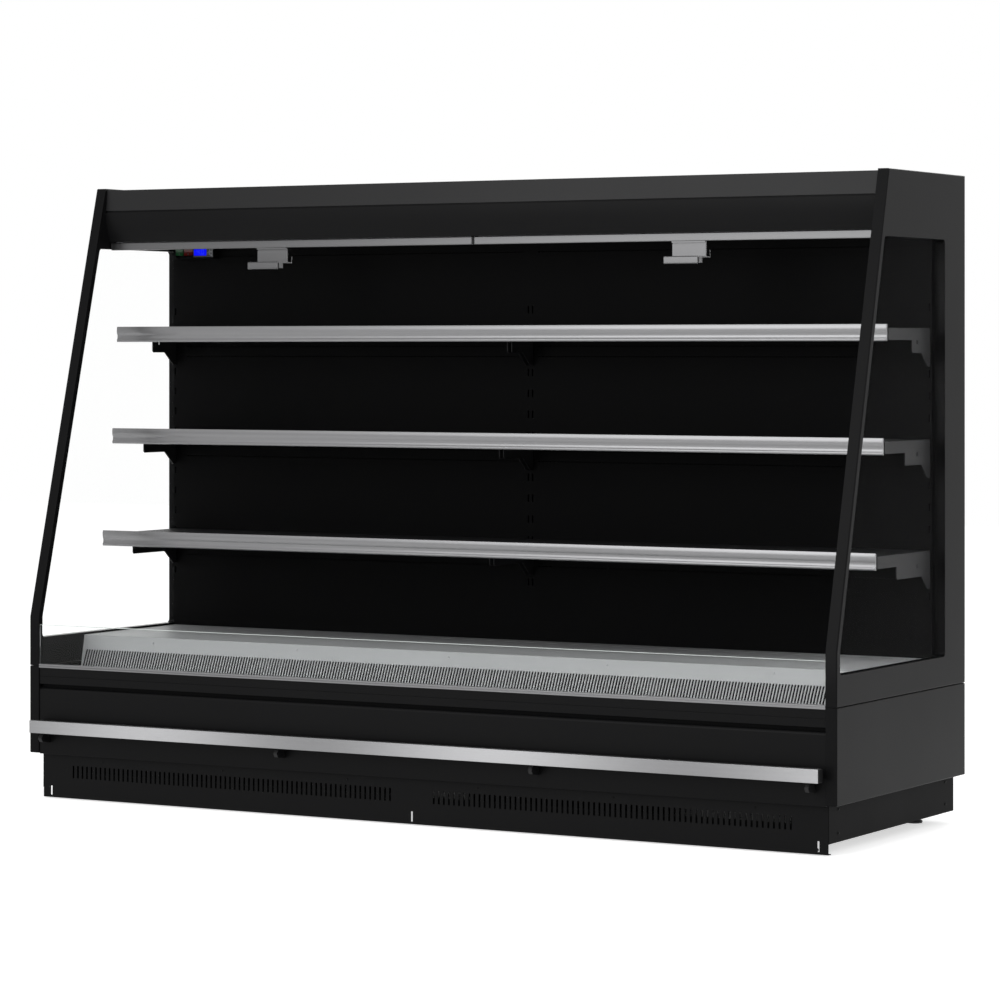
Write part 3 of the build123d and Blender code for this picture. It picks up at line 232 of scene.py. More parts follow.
def make_finishes(colours):
    """Makes every finish of the fridge, named as the record's material slots are."""
    powder, brushed = powder_coat_group(), brushed_group()
    spangle, weave = spangle_group(), weave_group()
    black, metal, grey = colours.black_paint, colours.aluminium, colours.deck_paint
    # Rocker colours made dark as painted shade, because the switches sit in shadow.
    shaded_red = [(0.07, 0.004, 0.003), (0.1, 0.006, 0.004)]
    shaded_green = [(0.004, 0.05, 0.012), (0.006, 0.07, 0.018)]
    slate = [(0.17, 0.18, 0.19), (0.2, 0.21, 0.22)]
    soot = [(0.012, 0.012, 0.013), (0.02, 0.02, 0.021)]
    foil = [(0.6, 0.61, 0.62), (0.7, 0.71, 0.72)]
    made = {  # group, two colours, roughness range, grain, patches or scratch length, relief
        "black_steel": (powder, tones(black, 1, 1.3), (0.36, 0.46), 950, 5, 3e-5),
        "black_panel": (powder, tones(black, 1.1, 1.5), (0.3, 0.4), 700, 4, 2e-5),
        # The next two rows are the black paint made lighter: painted light on the canopy top, the
        # bumper brackets and the shelves.
        "lit_black_paint": (powder, tones(black, 1.5, 2.0), (0.36, 0.46), 950, 5, 3e-5),
        "lit_shelf_paint": (powder, tones(black, 3.5, 4.5), (0.4, 0.5), 950, 6, 3e-5),
        # charcoal_steel is the black paint made darker: painted shade on the back panels, the air
        # channel and duct, the plinth, the control box and the condenser.
        "charcoal_steel": (powder, tones(black, 0.6, 0.9), (0.45, 0.55), 950, 6, 3e-5),
        "white_steel": (powder, [(0.72, 0.73, 0.74), (0.78, 0.79, 0.8)], (0.3, 0.42), 950, 5, 3e-5),
        "grey_steel": (powder, tones(grey, 1, 1.12), (0.36, 0.48), 950, 5, 3e-5),
        "white_liner": (powder, [(0.7, 0.71, 0.72), (0.76, 0.77, 0.78)], (0.35, 0.5), 500, 4, 2e-5),
        "zinc_steel": (spangle, [(0.42, 0.44, 0.46), (0.58, 0.6, 0.62)], (0.3, 0.5), 400, 70, 1e-5),
        # The bumper's wide colour range and broad bands paint its reflections along the length.
        "brushed_bumper": (brushed, tones(metal, 0.97, 2.06), (0.3, 0.38), 1800, 3, 1e-5),
        "aluminium": (brushed, tones(metal, 0.85, 1), (0.26, 0.34), 1500, 4, 6e-6),
        # The bars' aluminium is made darker as painted shade; their sawn ends are rougher and made
        # lighter as painted light.
        "shaded_bar_aluminium": (brushed, tones(metal, 0.48, 0.57), (0.28, 0.34), 1500, 4, 6e-6),
        "sawn_lit_aluminium": (brushed, tones(metal, 1.8, 2.2), (0.62, 0.7), 1500, 4, 6e-6),
        "coil_aluminium": (brushed, foil, (0.25, 0.4), 900, 60, 6e-6),
        "copper": (brushed, [(0.62, 0.27, 0.15), (0.75, 0.38, 0.24)], (0.22, 0.4), 400, 20, 6e-6),
        "lamp_cover": (powder, [(0.86, 0.87, 0.88), (0.9, 0.91, 0.92)], (0.4, 0.5), 300, 4, 1e-5),
        "black_plastic": (powder, soot, (0.42, 0.55), 1600, 20, 4e-5),
        "grey_plastic": (powder, slate, (0.4, 0.5), 1600, 20, 4e-5),
        # The riser glass's top edge: a pale green glass tint with a painted highlight.
        "lit_glass_edge": (powder, [(0.6, 0.66, 0.63), (0.66, 0.72, 0.69)], (0.15, 0.25), 400, 6, 1e-5),
        "white_plastic": (powder, [(0.7,) * 3, (0.76,) * 3], (0.35, 0.45), 1600, 20, 3e-5),
        "green_plastic": (powder, shaded_green, (0.15, 0.25), 1600, 20, 1e-5),
        "red_plastic": (powder, shaded_red, (0.15, 0.25), 1600, 20, 1e-5),
        "shade_fabric": (weave, [(0.5, 0.51, 0.53), (0.56, 0.57, 0.59)], (0.75, 0.9), 700, 8, 2e-4),
        "rubber": (powder, [(0.01,) * 3, (0.018,) * 3], (0.6, 0.8), 1200, 30, 5e-5),
        "blue_light": (powder, [(0.0, 0.004, 0.2), (0.0, 0.006, 0.25)], (0.3, 0.4), 1000, 40, 2e-5),
        "pale_light": (powder, [(0.02, 0.03, 0.3), (0.03, 0.04, 0.35)], (0.3, 0.4), 1000, 40, 2e-5),
    }
    sheens = {
        "black_steel": 0.07, "black_panel": 0.05, "lit_black_paint": 0.2, "lit_shelf_paint": 0.12,
        "charcoal_steel": 0.03, "blue_light": 0.1, "pale_light": 0.1,
    }
    glows = {
        "lamp_cover": ((1.0, 0.98, 0.94, 1), 2.5),
        "blue_light": ((0.0, 0.0, 1.0, 1), 0.8),
        "pale_light": ((0.02, 0.05, 1.0, 1), 0.7),
    }
    for name, finish in made.items():
        metallic = 0.85 if finish[0] is spangle else float(finish[0] is brushed)
        plain = {"Metallic": metallic}
        if name in sheens:
            plain["Specular IOR Level"] = sheens[name]
        if name in glows:
            plain["Emission Color"], plain["Emission Strength"] = glows[name]
        # Broad bands of painted reflection on the bumper.
        if name == "brushed_bumper":
            plain["bands"] = 0.85
        if name == "shade_fabric":
            plain["Sheen Weight"] = 0.2
        MATERIALS[name] = surface(name, *finish, **plain)
    MATERIALS["clear_glass"] = glass_material("clear_glass", (0.94, 0.955, 0.95), 1.16)
    MATERIALS["pane_glass"] = glass_material("pane_glass", (0.995, 0.998, 0.996), 1.02)


# ---- meshes ----
def closed_mesh(vertices, faces):
    """A mesh of given points and faces, merged and turned outwards."""
    mesh = bpy.data.meshes.new("shape")
    mesh.from_pydata([tuple(point) for point in vertices], [], faces)
    work = bmesh.new()
    work.from_mesh(mesh)
    return turned_outwards(work, mesh)


def turned_outwards(work, mesh):
    """Merges the doubles of what was worked on, turns it outwards and gives it to its mesh."""
    bmesh.ops.remove_doubles(work, verts=work.verts, dist=1e-6)
    bmesh.ops.recalc_face_normals(work, faces=work.faces)
    work.to_mesh(mesh)
    work.free()
    return mesh


def side_faces(low, high, count):
    """The faces between two equal rings, from the number of each ring's first point."""
    steps = [(step, (step + 1) % count) for step in range(count)]
    return [(low + here, low + on, high + on, high + here) for here, on in steps]


def extruded(near, far):
    """A closed bar between two equal outlines of points."""
    count = len(near)
    ends = [tuple(range(count)), tuple(range(2 * count - 1, count - 1, -1))]
    return closed_mesh(near + far, ends + side_faces(0, count, count))


def prism(outline, start, end):
    """A closed bar along the case, from its side outline of (y, z) points."""
    return extruded(*([(x, y, z) for y, z in outline] for x in (start, end)))


def plate(outline, front, rear):
    """A flat plate that faces the front, from its (x, z) outline."""
    return extruded(*([(x, y, z) for x, z in outline] for y in (front, rear)))


def box_mesh(low, high):
    outline = [(low[1], low[2]), (high[1], low[2]), (high[1], high[2]), (low[1], high[2])]
    return prism(outline, low[0], high[0])


def circle(radius, count, first=0.0):
    """Points round a circle, from a first angle in degrees."""
    angles = [math.radians(first + 360 * step / count) for step in range(count)]
    return [(radius * math.cos(angle), radius * math.sin(angle)) for angle in angles]


def looped(rings):
    """A closed mesh through equal rings of points, with the last ring joined to the first."""
    count, total = len(rings[0]), len(rings) * len(rings[0])
    faces = []
    for start in range(0, total, count):
        faces += side_faces(start, (start + count) % total, count)
    return closed_mesh([point for ring in rings for point in ring], faces)


def turned(outline, origin, axis, segments=32):
    """A shape turned on a lathe: outline of (distance along the axis, radius)."""
    turn = Vector(axis).to_track_quat("Z", "Y").to_matrix()
    rings, vertices = [], []
    for along, radius in outline:
        points = circle(radius, segments if radius > 0 else 1)
        rings.append(list(range(len(vertices), len(vertices) + len(points))))
        vertices += [Vector(origin) + turn @ Vector((x, y, along)) for x, y in points]
    faces = []
    for first, second in zip(rings, rings[1:]):
        for step in range(segments):
            after = (step + 1) % segments
            ends = ((first, step), (first, after), (second, after), (second, step))
            corners = list(dict.fromkeys(ring[at % len(ring)] for ring, at in ends))
            if len(corners) > 2:
                faces.append(corners)
    faces += [ring for ring in (rings[0], rings[-1]) if len(ring) > 1]
    return closed_mesh(vertices, faces)


def two_sided(vertices, width, rows):
    """A closed thin sheet from two equal grids of points, one behind the other."""
    sheet = width * (rows + 1)
    faces = []
    for row in range(rows):
        for column in range(width - 1):
            a = row * width + column
            faces.append((a, a + 1, a + width + 1, a + width))
            faces.append((a + sheet, a + width + sheet, a + width + 1 + sheet, a + 1 + sheet))
    rim = [*range(width)] + [row * width + width - 1 for row in range(1, rows + 1)]
    rim += [rows * width + column for column in range(width - 2, -1, -1)]
    rim += [row * width for row in range(rows - 1, 0, -1)]
    for index, a in enumerate(rim):
        b = rim[(index + 1) % len(rim)]
        faces.append((b, a, a + sheet, b + sheet))
    return closed_mesh(vertices, faces)


def joined(meshes):
    """One mesh out of several."""
    work = bmesh.new()
    for mesh in meshes:
        work.from_mesh(mesh)
        bpy.data.meshes.remove(mesh)
    whole = bpy.data.meshes.new("whole")
    work.to_mesh(whole)
    work.free()
    return whole


def moved(mesh, place=(0, 0, 0), turn=None):
    """Shifts, and first turns, a mesh."""
    matrix = Matrix.Translation(place)
    mesh.transform(matrix @ turn.to_4x4() if turn else matrix)
    return mesh


def soften(mesh, width, segments=2, angle=30):
    """Rounds a mesh's sharp edges."""
    work = bmesh.new()
    work.from_mesh(mesh)
    bmesh.ops.remove_doubles(work, verts=work.verts, dist=1e-5)
    flat = math.radians(1)
    bmesh.ops.dissolve_limit(work, angle_limit=flat, verts=work.verts, edges=work.edges)
    sharp = [
        edge
        for edge in work.edges
        if len(edge.link_faces) == 2 and edge.calc_face_angle(0) > math.radians(angle)
    ]
    bmesh.ops.bevel(
        work, geom=sharp, offset=width, segments=segments, profile=0.5, affect="EDGES",
        clamp_overlap=True,
    )
    return turned_outwards(work, mesh)


def in_scene(name, data):
    thing = bpy.data.objects.new(name, data)
    bpy.context.scene.collection.objects.link(thing)
    return thing


def plain_mesh(thing):
    """The mesh of an object with its modifiers worked in."""
    evaluated = thing.evaluated_get(bpy.context.evaluated_depsgraph_get())
    return bpy.data.meshes.new_from_object(evaluated)


def add_piece(name, mesh, body, slot, nodes=(), material=None, smooth=35):
    """Puts a finished mesh in place of the CAD nodes that it stands for. A piece given no body is
    left unattached."""
    mesh.materials.clear()
    mesh.materials.append(MATERIALS[material or slot])
    mesh.shade_smooth()
    mesh.set_sharp_from_angle(angle=math.radians(smooth))
    piece = in_scene(name, mesh)
    weigh = piece.modifiers.new("Even shading", "WEIGHTED_NORMAL")
    weigh.keep_sharp = True
    baked = plain_mesh(piece)
    piece.modifiers.clear()
    piece.data = baked
    bpy.data.meshes.remove(mesh)
    baked.name = name
    if body:
        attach(piece, body)
    if nodes:
        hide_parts(*nodes)
    return piece


def replace_node(node, name, mesh, material=None, smooth=35):
    """A piece with the body and slot of the one CAD node that it stands for."""
    return add_piece(name, mesh, BODY_OF[node], SLOT_OF[node], (node,), material, smooth)


def copy_of(node):
    return frame["nodes"][node].data.copy()


def softened_copy(node, width):
    """A copy of a CAD node with its sharp edges rounded, which replaces the node."""
    mesh = soften(copy_of(node), width)
    piece = replace_node(node, f"{node}_finished", mesh, OTHER_FINISH.get(node))
    if node in SECOND_FINISH:
        paint_faces(piece, *SECOND_FINISH[node])


def paint_faces(piece, finish, chosen):
    """Gives the faces that are chosen by their centre and facing a second finish."""
    piece.data.materials.append(MATERIALS[finish])
    for face in piece.data.polygons:
        if chosen(face.center, face.normal):
            face.material_index = 1


def outer_skin_and_shaded_channel(centre, facing):
    """The tub's outer front and underside, and the air channel in front of the fan plate, whose
    dark finish is painted shade behind the grille's slots.
    """
    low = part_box("insulated_tub")[0]
    channel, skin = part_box("fan_plate")[0].y, 0.003
    return centre.y < max(low.y + skin, channel) or centre.z < low.z + skin


def shaded_duct_face(centre, facing):
    """The side of the back wall that the back panels cover, darkened as painted shade behind their
    slots.
    """
    return facing.y < -0.5


def highlit_top_edge(centre, facing):
    """The polished top edge of the riser glass, in a pale green finish that is partly a painted
    highlight.
    """
    return facing.z > 0.5


def end_faces(centre, facing):
    """The closed ends of a bar."""
    return abs(facing.x) > 0.5


# Second finishes on chosen faces. The charcoal on the tub's air channel and on the back wall behind
# the panels is painted shade behind slots; the riser glass edge is partly a painted highlight.
SECOND_FINISH = {
    "insulated_tub": ("charcoal_steel", outer_skin_and_shaded_channel),
    "back_wall": ("charcoal_steel", shaded_duct_face),
    "riser_glass": ("lit_glass_edge", highlit_top_edge),
    "bumper_bar": ("black_plastic", end_faces),
}
# Finishes put in place of a slot's own. The canopy top, brackets and shelves get lighter copies of
# the black paint as painted light; the control box and plinth get the darker charcoal as painted
# shade.
OTHER_FINISH = {
    "bumper_brackets": "lit_black_paint",
    "control_box": "charcoal_steel",
    "end_glass": "pane_glass",
    "canopy_top": "lit_black_paint",
    "plinth_panels": "charcoal_steel",
    # Shelves in the black paint made lighter, as painted light.
    "shelf_bottom": "lit_shelf_paint",
    "shelf_middle": "lit_shelf_paint",
    "shelf_top": "lit_shelf_paint",
}


# ---- geometry trees ----
def grow(maker, settings, source=None):
    """Runs a geometry tree, built when first needed, and returns its result as a plain mesh."""
    if maker.__name__ not in TREES:
        TREES[maker.__name__] = maker()
    tree = TREES[maker.__name__]
    carrier = in_scene("carrier", source or bpy.data.meshes.new("source"))
    modifier = carrier.modifiers.new(tree.name, "NODES")
    modifier.node_group = tree
    for item in tree.interface.items_tree:
        if item.item_type == "SOCKET" and item.in_out == "INPUT" and item.name in settings:
            modifier[item.identifier] = settings[item.name]
    mesh = plain_mesh(carrier)
    bpy.data.objects.remove(carrier)
    return mesh


def new_shape(name, inputs):
    """Starts a geometry tree that puts out one shape."""
    inputs = {**inputs, "Material": "NodeSocketMaterial"}
    return new_tree(name, "GeometryNodeTree", inputs, {"Geometry": SHAPE})


def end_shape(tree, geometry, given):
    """Every geometry tree ends in Realize Instances and Set Material."""
    real = add_node(tree, "GeometryNodeRealizeInstances", {"Geometry": geometry})
    looks = {"Geometry": real, "Material": given["Material"]}
    dressed = add_node(tree, "GeometryNodeSetMaterial", looks)
    add_node(tree, "NodeGroupOutput", {0: dressed})
    return tree


def slotted_strip_tree():
    """A strip of sheet along X with a row of slots, facing -Y."""
    names = ("Pitch", "Height", "Slot Width", "Slot Height", "Corner", "Thickness")
    tree, size = new_shape("Slotted strip", {"Cells": COUNT, **dict.fromkeys(names, LENGTH)})
    node, weld = partial(add_node, tree), 2e-5
    quad = partial(node, "GeometryNodeCurvePrimitiveQuadrilateral")
    cell = quad({"Width": size["Pitch"], "Height": size["Height"]})
    slot = quad({"Width": size["Slot Width"], "Height": size["Slot Height"]})
    corners = {"Curve": slot, "Radius": size["Corner"], "Count": 2, "Limit Radius": True}
    rounded = node("GeometryNodeFilletCurve", corners, mode="POLY")
    both = node("GeometryNodeJoinGeometry", {0: [cell, rounded]})
    face = node("GeometryNodeFillCurve", {"Curve": both}, mode="TRIANGLES")
    step = add_node(tree, "ShaderNodeCombineXYZ", {"X": size["Pitch"]})
    line = node("GeometryNodeMeshLine", {"Count": size["Cells"], "Offset": step})
    row = node("GeometryNodeInstanceOnPoints", {"Points": line, "Instance": face})
    flat = node("GeometryNodeRealizeInstances", {"Geometry": row})
    sheet = node("GeometryNodeMergeByDistance", {"Geometry": flat, "Distance": weld})
    thicken = {"Mesh": sheet, "Offset Scale": size["Thickness"], "Individual": False}
    front = node("GeometryNodeExtrudeMesh", thicken)
    back = node("GeometryNodeFlipFaces", {"Mesh": sheet})
    solid = node("GeometryNodeJoinGeometry", {0: [front, back]})
    whole = node("GeometryNodeMergeByDistance", {"Geometry": solid, "Distance": weld})
    stood = node("GeometryNodeTransform", {"Geometry": whole, "Rotation": (math.pi / 2, 0, 0)})
    return end_shape(tree, stood, size)


def copies_tree():
    """One shape repeated along X and Y, with every second row shifted by half a step."""
    inputs = {"Shape": "NodeSocketObject", "Columns": COUNT, "Rows": COUNT}
    inputs |= dict.fromkeys(("Column Step", "Row Step", "Stagger"), LENGTH)
    tree, size = new_shape("Staggered copies", inputs)
    node = partial(add_node, tree)
    shape = node("GeometryNodeObjectInfo", {"Object": size["Shape"]}).outputs["Geometry"]
    column = node("ShaderNodeCombineXYZ", {"X": size["Column Step"]})
    row = node("ShaderNodeCombineXYZ", {"Y": size["Row Step"]})
    rows = node("GeometryNodeMeshLine", {"Count": size["Rows"], "Offset": row})
    odd = node("ShaderNodeMath", {0: node("GeometryNodeInputIndex"), 1: 2.0}, operation="MODULO")
    shift = node("ShaderNodeMath", {0: odd, 1: size["Stagger"]}, operation="MULTIPLY")
    sideways = node("ShaderNodeCombineXYZ", {"X": shift})
    starts = node("GeometryNodeSetPosition", {"Geometry": rows, "Offset": sideways})
    columns = node("GeometryNodeMeshLine", {"Count": size["Columns"], "Offset": column})
    line = node("GeometryNodeInstanceOnPoints", {"Points": columns, "Instance": shape})
    field = node("GeometryNodeInstanceOnPoints", {"Points": starts, "Instance": line})
    return end_shape(tree, field, size)


def screws_tree():
    """A screw on every point, along the point's facing, each turned by a seeded angle."""
    inputs = {"Geometry": SHAPE, "Screw": "NodeSocketObject", "Seed": COUNT}
    tree, given = new_shape("Screws", inputs)
    node = partial(add_node, tree)
    head = node("GeometryNodeObjectInfo", {"Object": given["Screw"]}).outputs["Geometry"]
    facing = node("GeometryNodeInputNamedAttribute", {"Name": "facing"}, data_type="FLOAT_VECTOR")
    turn = add_node(tree, "FunctionNodeAlignRotationToVector", {"Vector": facing}, axis="Z")
    heads = {"Points": given["Geometry"], "Instance": head, "Rotation": turn}
    placed = node("GeometryNodeInstanceOnPoints", heads)
    quarter = {2: 0.0, 3: 1.57, "Seed": given["Seed"]}
    spin = add_node(tree, "FunctionNodeRandomValue", quarter, data_type="FLOAT").outputs[1]
    axis = add_node(tree, "ShaderNodeCombineXYZ", {"Z": spin})
    turning = {"Instances": placed, "Rotation": axis, "Local Space": True}
    return end_shape(tree, node("GeometryNodeRotateInstances", turning), given)


def slotted_strip(cells, pitch, height, slot, thickness, material):
    """A slotted strip that starts at x = 0 and is centred on z = 0, with its back at y = 0."""
    settings = {
        "Cells": cells, "Pitch": pitch, "Height": height, "Slot Width": slot[0],
        "Slot Height": slot[1], "Corner": min(slot) * 0.49, "Thickness": thickness,
        "Material": MATERIALS[material],
    }
    return moved(grow(slotted_strip_tree, settings), (pitch / 2, 0, 0))


def staggered(shape, columns, rows, steps, stagger, material):
    """Copies of a mesh in rows and columns from the origin."""
    pattern = in_scene("pattern", shape)
    settings = {
        "Shape": pattern, "Columns": columns, "Rows": rows, "Column Step": steps[0],
        "Row Step": steps[1], "Stagger": stagger, "Material": MATERIALS[material],
    }
    mesh = grow(copies_tree, settings)
    bpy.data.objects.remove(pattern)
    return mesh


# ---- outlines and tubes ----
def folded(path, thickness):
    """The closed outline of a sheet folded along a side path, with its thickness to the right."""
    points = [Vector(path[0])]
    for point in map(Vector, path[1:]):
        if (point - points[-1]).length > 1e-6:
            points.append(point)
    runs = [(end - start).normalized() for start, end in zip(points, points[1:])]
    sides = [Vector((run.y, -run.x)) for run in runs]
    far = []
    for index, point in enumerate(points):
        before, after = sides[max(index - 1, 0)], sides[min(index, len(sides) - 1)]
        mitre = (before + after).normalized()
        far.append(point + mitre * (thickness / mitre.dot(after)))
    return points + far[::-1]


def arc_points(centre, radius, start, end, steps):
    """Points (y, z) on an arc between two angles in degrees."""
    angles = [math.radians(start + (end - start) * step / steps) for step in range(steps + 1)]
    return [
        (centre[0] + radius * math.cos(angle), centre[1] + radius * math.sin(angle))
        for angle in angles
    ]


def bent_tube(points, bend, radius, ring=16, steps=6):
    """A round tube through points, with every corner bent to a radius."""
    route = [Vector(points[0])]
    for before, corner, after in zip(points, points[1:], points[2:]):
        corner = Vector(corner)
        back, on = (Vector(before) - corner).normalized(), (Vector(after) - corner).normalized()
        turn = math.pi - back.angle(on)
        reach = bend * math.tan(turn / 2)
        middle = corner + (back + on).normalized() * (bend / math.cos(turn / 2))
        first, last = corner + back * reach, corner + on * reach
        inward, outward = (first - middle).normalized(), (last - middle).normalized()
        for step in range(steps + 1):
            route.append(middle + inward.slerp(outward, step / steps) * bend)
    route.append(Vector(points[-1]))
    return tube_along(route, radius, ring)


def tube_along(route, radius, ring):
    """A closed round tube through points that are near each other where it bends."""
    vertices, faces, side = [], [], None
    for index, point in enumerate(route):
        ahead = route[min(index + 1, len(route) - 1)] - route[max(index - 1, 0)]
        ahead.normalize()
        side = side or ahead.orthogonal()
        side = (side - ahead * side.dot(ahead)).normalized()
        other = ahead.cross(side)
        vertices += [point + side * x + other * y for x, y in circle(radius, ring)]
    for low in range(0, len(vertices) - ring, ring):
        faces += side_faces(low, low + ring, ring)
    faces += [tuple(range(ring)), tuple(range(len(vertices) - ring, len(vertices)))]
    return closed_mesh(vertices, faces)


# ---- painted sheet and frame ----
SHEET = 0.0015  # thickness of folded sheet metal
GRILLE_FLANGE = 0.022  # depth of the return grille's folded edges
EDGE_WIDTHS = {  # the nodes that only get rounded edges, and how wide the rounding is
    "end_panel_left": 0.0012, "end_panel_right": 0.0012, "end_frame_left": 0.0012,
    "end_frame_right": 0.0012, "front_panel": 0.0005, "front_top_panel": 0.0004,
    "kick_plate": 0.0004, "plinth_panels": 0.0004, "canopy_top": 0.0015, "back_wall": 0.001,
    "base_frame": 0.0006, "floor_sheet": 0.0003, "base_posts": 0.0006, "insulated_tub": 0.002,
    "fan_plate": 0.0004, "ceiling_panel": 0.0004, "shelf_uprights": 0.0005,
    "blind_brackets": 0.0005, "bumper_bar": 0.0004, "bumper_brackets": 0.0012,
    "glass_rail": 0.0003, "riser_glass": 0.0004, "end_glass": 0.0004, "condensate_tray": 0.0006,
    "electrical_box": 0.0015, "shelf_bottom": 0.0004, "shelf_middle": 0.0004, "shelf_top": 0.0004,
    "ticket_rail_bottom": 0.0002, "ticket_rail_middle": 0.0002, "ticket_rail_top": 0.0002,
}


def make_return_grille(parts):
    """The leaning plate in front of the deck, with its full row of air slots."""
    low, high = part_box("air_return_grille")
    margin, end_land = 0.004, 0.006
    foot, top = (low.y, low.z), (high.y - GRILLE_FLANGE, high.z)
    lean = math.atan2(top[0] - foot[0], top[1] - foot[1])
    slot_low, slot_high = parts.grille_slot_bottom, parts.grille_slot_top
    band_low, band_high = slot_low - margin, slot_high + margin

    def on_slope(z):
        return foot[0] + (z - foot[1]) * math.tan(lean), z

    pitch, slant = parts.grille_slot_pitch, parts.grille_slot_slant
    count = round((high.x - low.x - 2 * end_land) / pitch)
    height = (band_high - band_low) / math.cos(lean)
    slot = (parts.grille_slot_width, (slot_high - slot_low) / math.cos(lean))
    strip = slotted_strip(count, pitch, height, slot, SHEET, "grey_steel")
    for point in strip.vertices:
        point.co.x += slant * point.co.z
    length, shift = count * pitch, slant * height / 2
    start, end = low.x + length / 2, high.x + length / 2
    left = [(start, -1), (-shift, -1), (shift, 1), (start, 1)]
    right = [(length - shift, -1), (end, -1), (end, 1), (length + shift, 1)]
    flat = [plate([(x, z * height / 2) for x, z in side], -SHEET, 0) for side in (left, right)]
    y, z = on_slope((band_low + band_high) / 2)
    place = (-length / 2, y + SHEET * math.cos(lean), z - SHEET * math.sin(lean))
    front = moved(joined([strip, *flat]), place, Matrix.Rotation(-lean, 3, "X"))
    lower = [(foot[0] + GRILLE_FLANGE, foot[1]), foot, on_slope(band_low)]
    upper = [on_slope(band_high), top, (high.y, high.z)]
    bands = [prism(folded(path, SHEET), low.x, high.x) for path in (lower, upper)]
    replace_node("air_return_grille", "return_grille", joined([front, *bands]), smooth=20)


def make_deck():
    """Two deck trays with a hemmed front edge and a row of air slots at the back."""
    low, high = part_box("deck_trays")
    thickness, gap, hem = high.z - low.z, 0.0005, 0.0006
    slot_row, height, slot, pitch = high.y - 0.05, 0.014, (0.03, 0.006), 0.06
    ahead, behind = slot_row - height / 2, slot_row + height / 2
    front = [(low.y, low.z), (ahead, low.z), (ahead, high.z)]
    front += [(low.y + hem, high.z), (low.y, high.z - hem)]
    rear = [(behind, low.z), (high.y, low.z), (high.y, high.z), (behind, high.z)]
    lay_flat = Matrix.Rotation(-math.pi / 2, 3, "X")
    trays = []
    for start, end in ((low.x, -gap), (gap, high.x)):
        cells = round((end - start) / pitch)
        strip = slotted_strip(cells, (end - start) / cells, height, slot, thickness, "grey_steel")
        trays.append(moved(strip, (start, slot_row, low.z), lay_flat))
        trays += [prism(outline, start, end) for outline in (front, rear)]
    replace_node("deck_trays", "deck_tray_pair", joined(trays), smooth=20)


def make_back_panels(parts):
    """Back panels with rows of short air slots below each shelf and under the ceiling."""
    low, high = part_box("back_panels")
    face, reach, height = 0.0012, 0.02, 0.009
    slot = (parts.perforation_pitch * 0.62, 0.0026)
    shelves = [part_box(f"shelf_{level}")[1].z for level in ("bottom", "middle", "top")]
    rows = [top - drop for top in shelves for drop in (0.068, 0.042)] + [high.z - 0.03]
    panels = []
    for start, end in ((low.x, -reach), (reach, high.x)):
        cells = round((end - start) / parts.perforation_pitch)
        pitch, edge = (end - start) / cells, low.z
        for row in rows:
            # The strips are given charcoal_steel, the black paint made darker, as painted shade on
            # the back of the well.
            strip = slotted_strip(cells, pitch, height, slot, face, "charcoal_steel")
            panels.append(moved(strip, (start, low.y + face, row)))
            panels.append(box_mesh((start, low.y, edge), (end, low.y + face, row - height / 2)))
            edge = row + height / 2
        panels.append(box_mesh((start, low.y, edge), (end, low.y + face, high.z)))
        for x in (start, end - face):
            panels.append(box_mesh((x, low.y + face, low.z), (x + face, high.y, high.z)))
    replace_node("back_panels", "slotted_back_panels", joined(panels), smooth=20)


# ---- canopy ----
def make_fascia():
    """The canopy's front, one smooth rolled curve below the seam."""
    low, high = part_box("canopy_fascia")
    seam, drop, foot = 0.0045, 0.004, 0.0135
    height = high.z - drop - low.z
    radius = (foot**2 + height**2) / (2 * foot)
    sweep = math.degrees(math.asin(height / radius))
    curve = arc_points((low.y + radius, high.z - drop), radius, 180 + sweep, 180, 28)
    top = [(low.y + seam, high.z - drop), (low.y + seam, high.z), (high.y, high.z)]
    fascia = prism(folded(curve + top, SHEET), low.x, high.x)
    replace_node("canopy_fascia", "rolled_fascia", fascia, smooth=25)


def hexagon_cell(radius, wall, height):
    """One open six-sided cell of the air straightener."""
    walls = ((radius, 0), (radius, height), (radius - wall, height), (radius - wall, 0))
    return looped([[(x, y, z) for x, y in circle(size, 6, 30)] for size, z in walls])


def make_honeycomb(parts):
    """The air straightener's hexagonal cells inside a thin frame."""
    low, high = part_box("air_honeycomb")
    rim, margin, width = 0.0012, 0.0005, parts.comb_cell
    radius = width / math.sqrt(3)
    row_step = 1.5 * radius
    cell = hexagon_cell(radius * 0.995, 0.0004, high.z - low.z - 2 * margin)
    columns = int((high.x - low.x - 2 * rim - width / 2) / width)
    rows = int((high.y - low.y - 2 * rim - 2 * radius) / row_step) + 1
    comb = staggered(cell, columns, rows, (width, row_step), width / 2, "grey_plastic")
    start_x = (low.x + high.x - (columns - 0.5) * width) / 2
    start_y = (low.y + high.y - (rows - 1) * row_step) / 2
    whole = [moved(comb, (start_x, start_y, low.z + margin))]
    for y in (low.y, high.y - rim):
        whole.append(box_mesh((low.x, y, low.z), (high.x, y + rim, high.z)))
    for x in (low.x, high.x - rim):
        whole.append(box_mesh((x, low.y, low.z), (x + rim, high.y, high.z)))
    replace_node("air_honeycomb", "air_straightener", joined(whole), smooth=20)


def end_caps(low, high, width, rounding, segments=2):
    """A rounded cap at each end of a bar's box."""
    caps = []
    for x in (low[0], high[0] - width):
        cap = box_mesh((x, low[1], low[2]), (x + width, high[1], high[2]))
        caps.append(soften(cap, rounding, segments))
    return joined(caps)


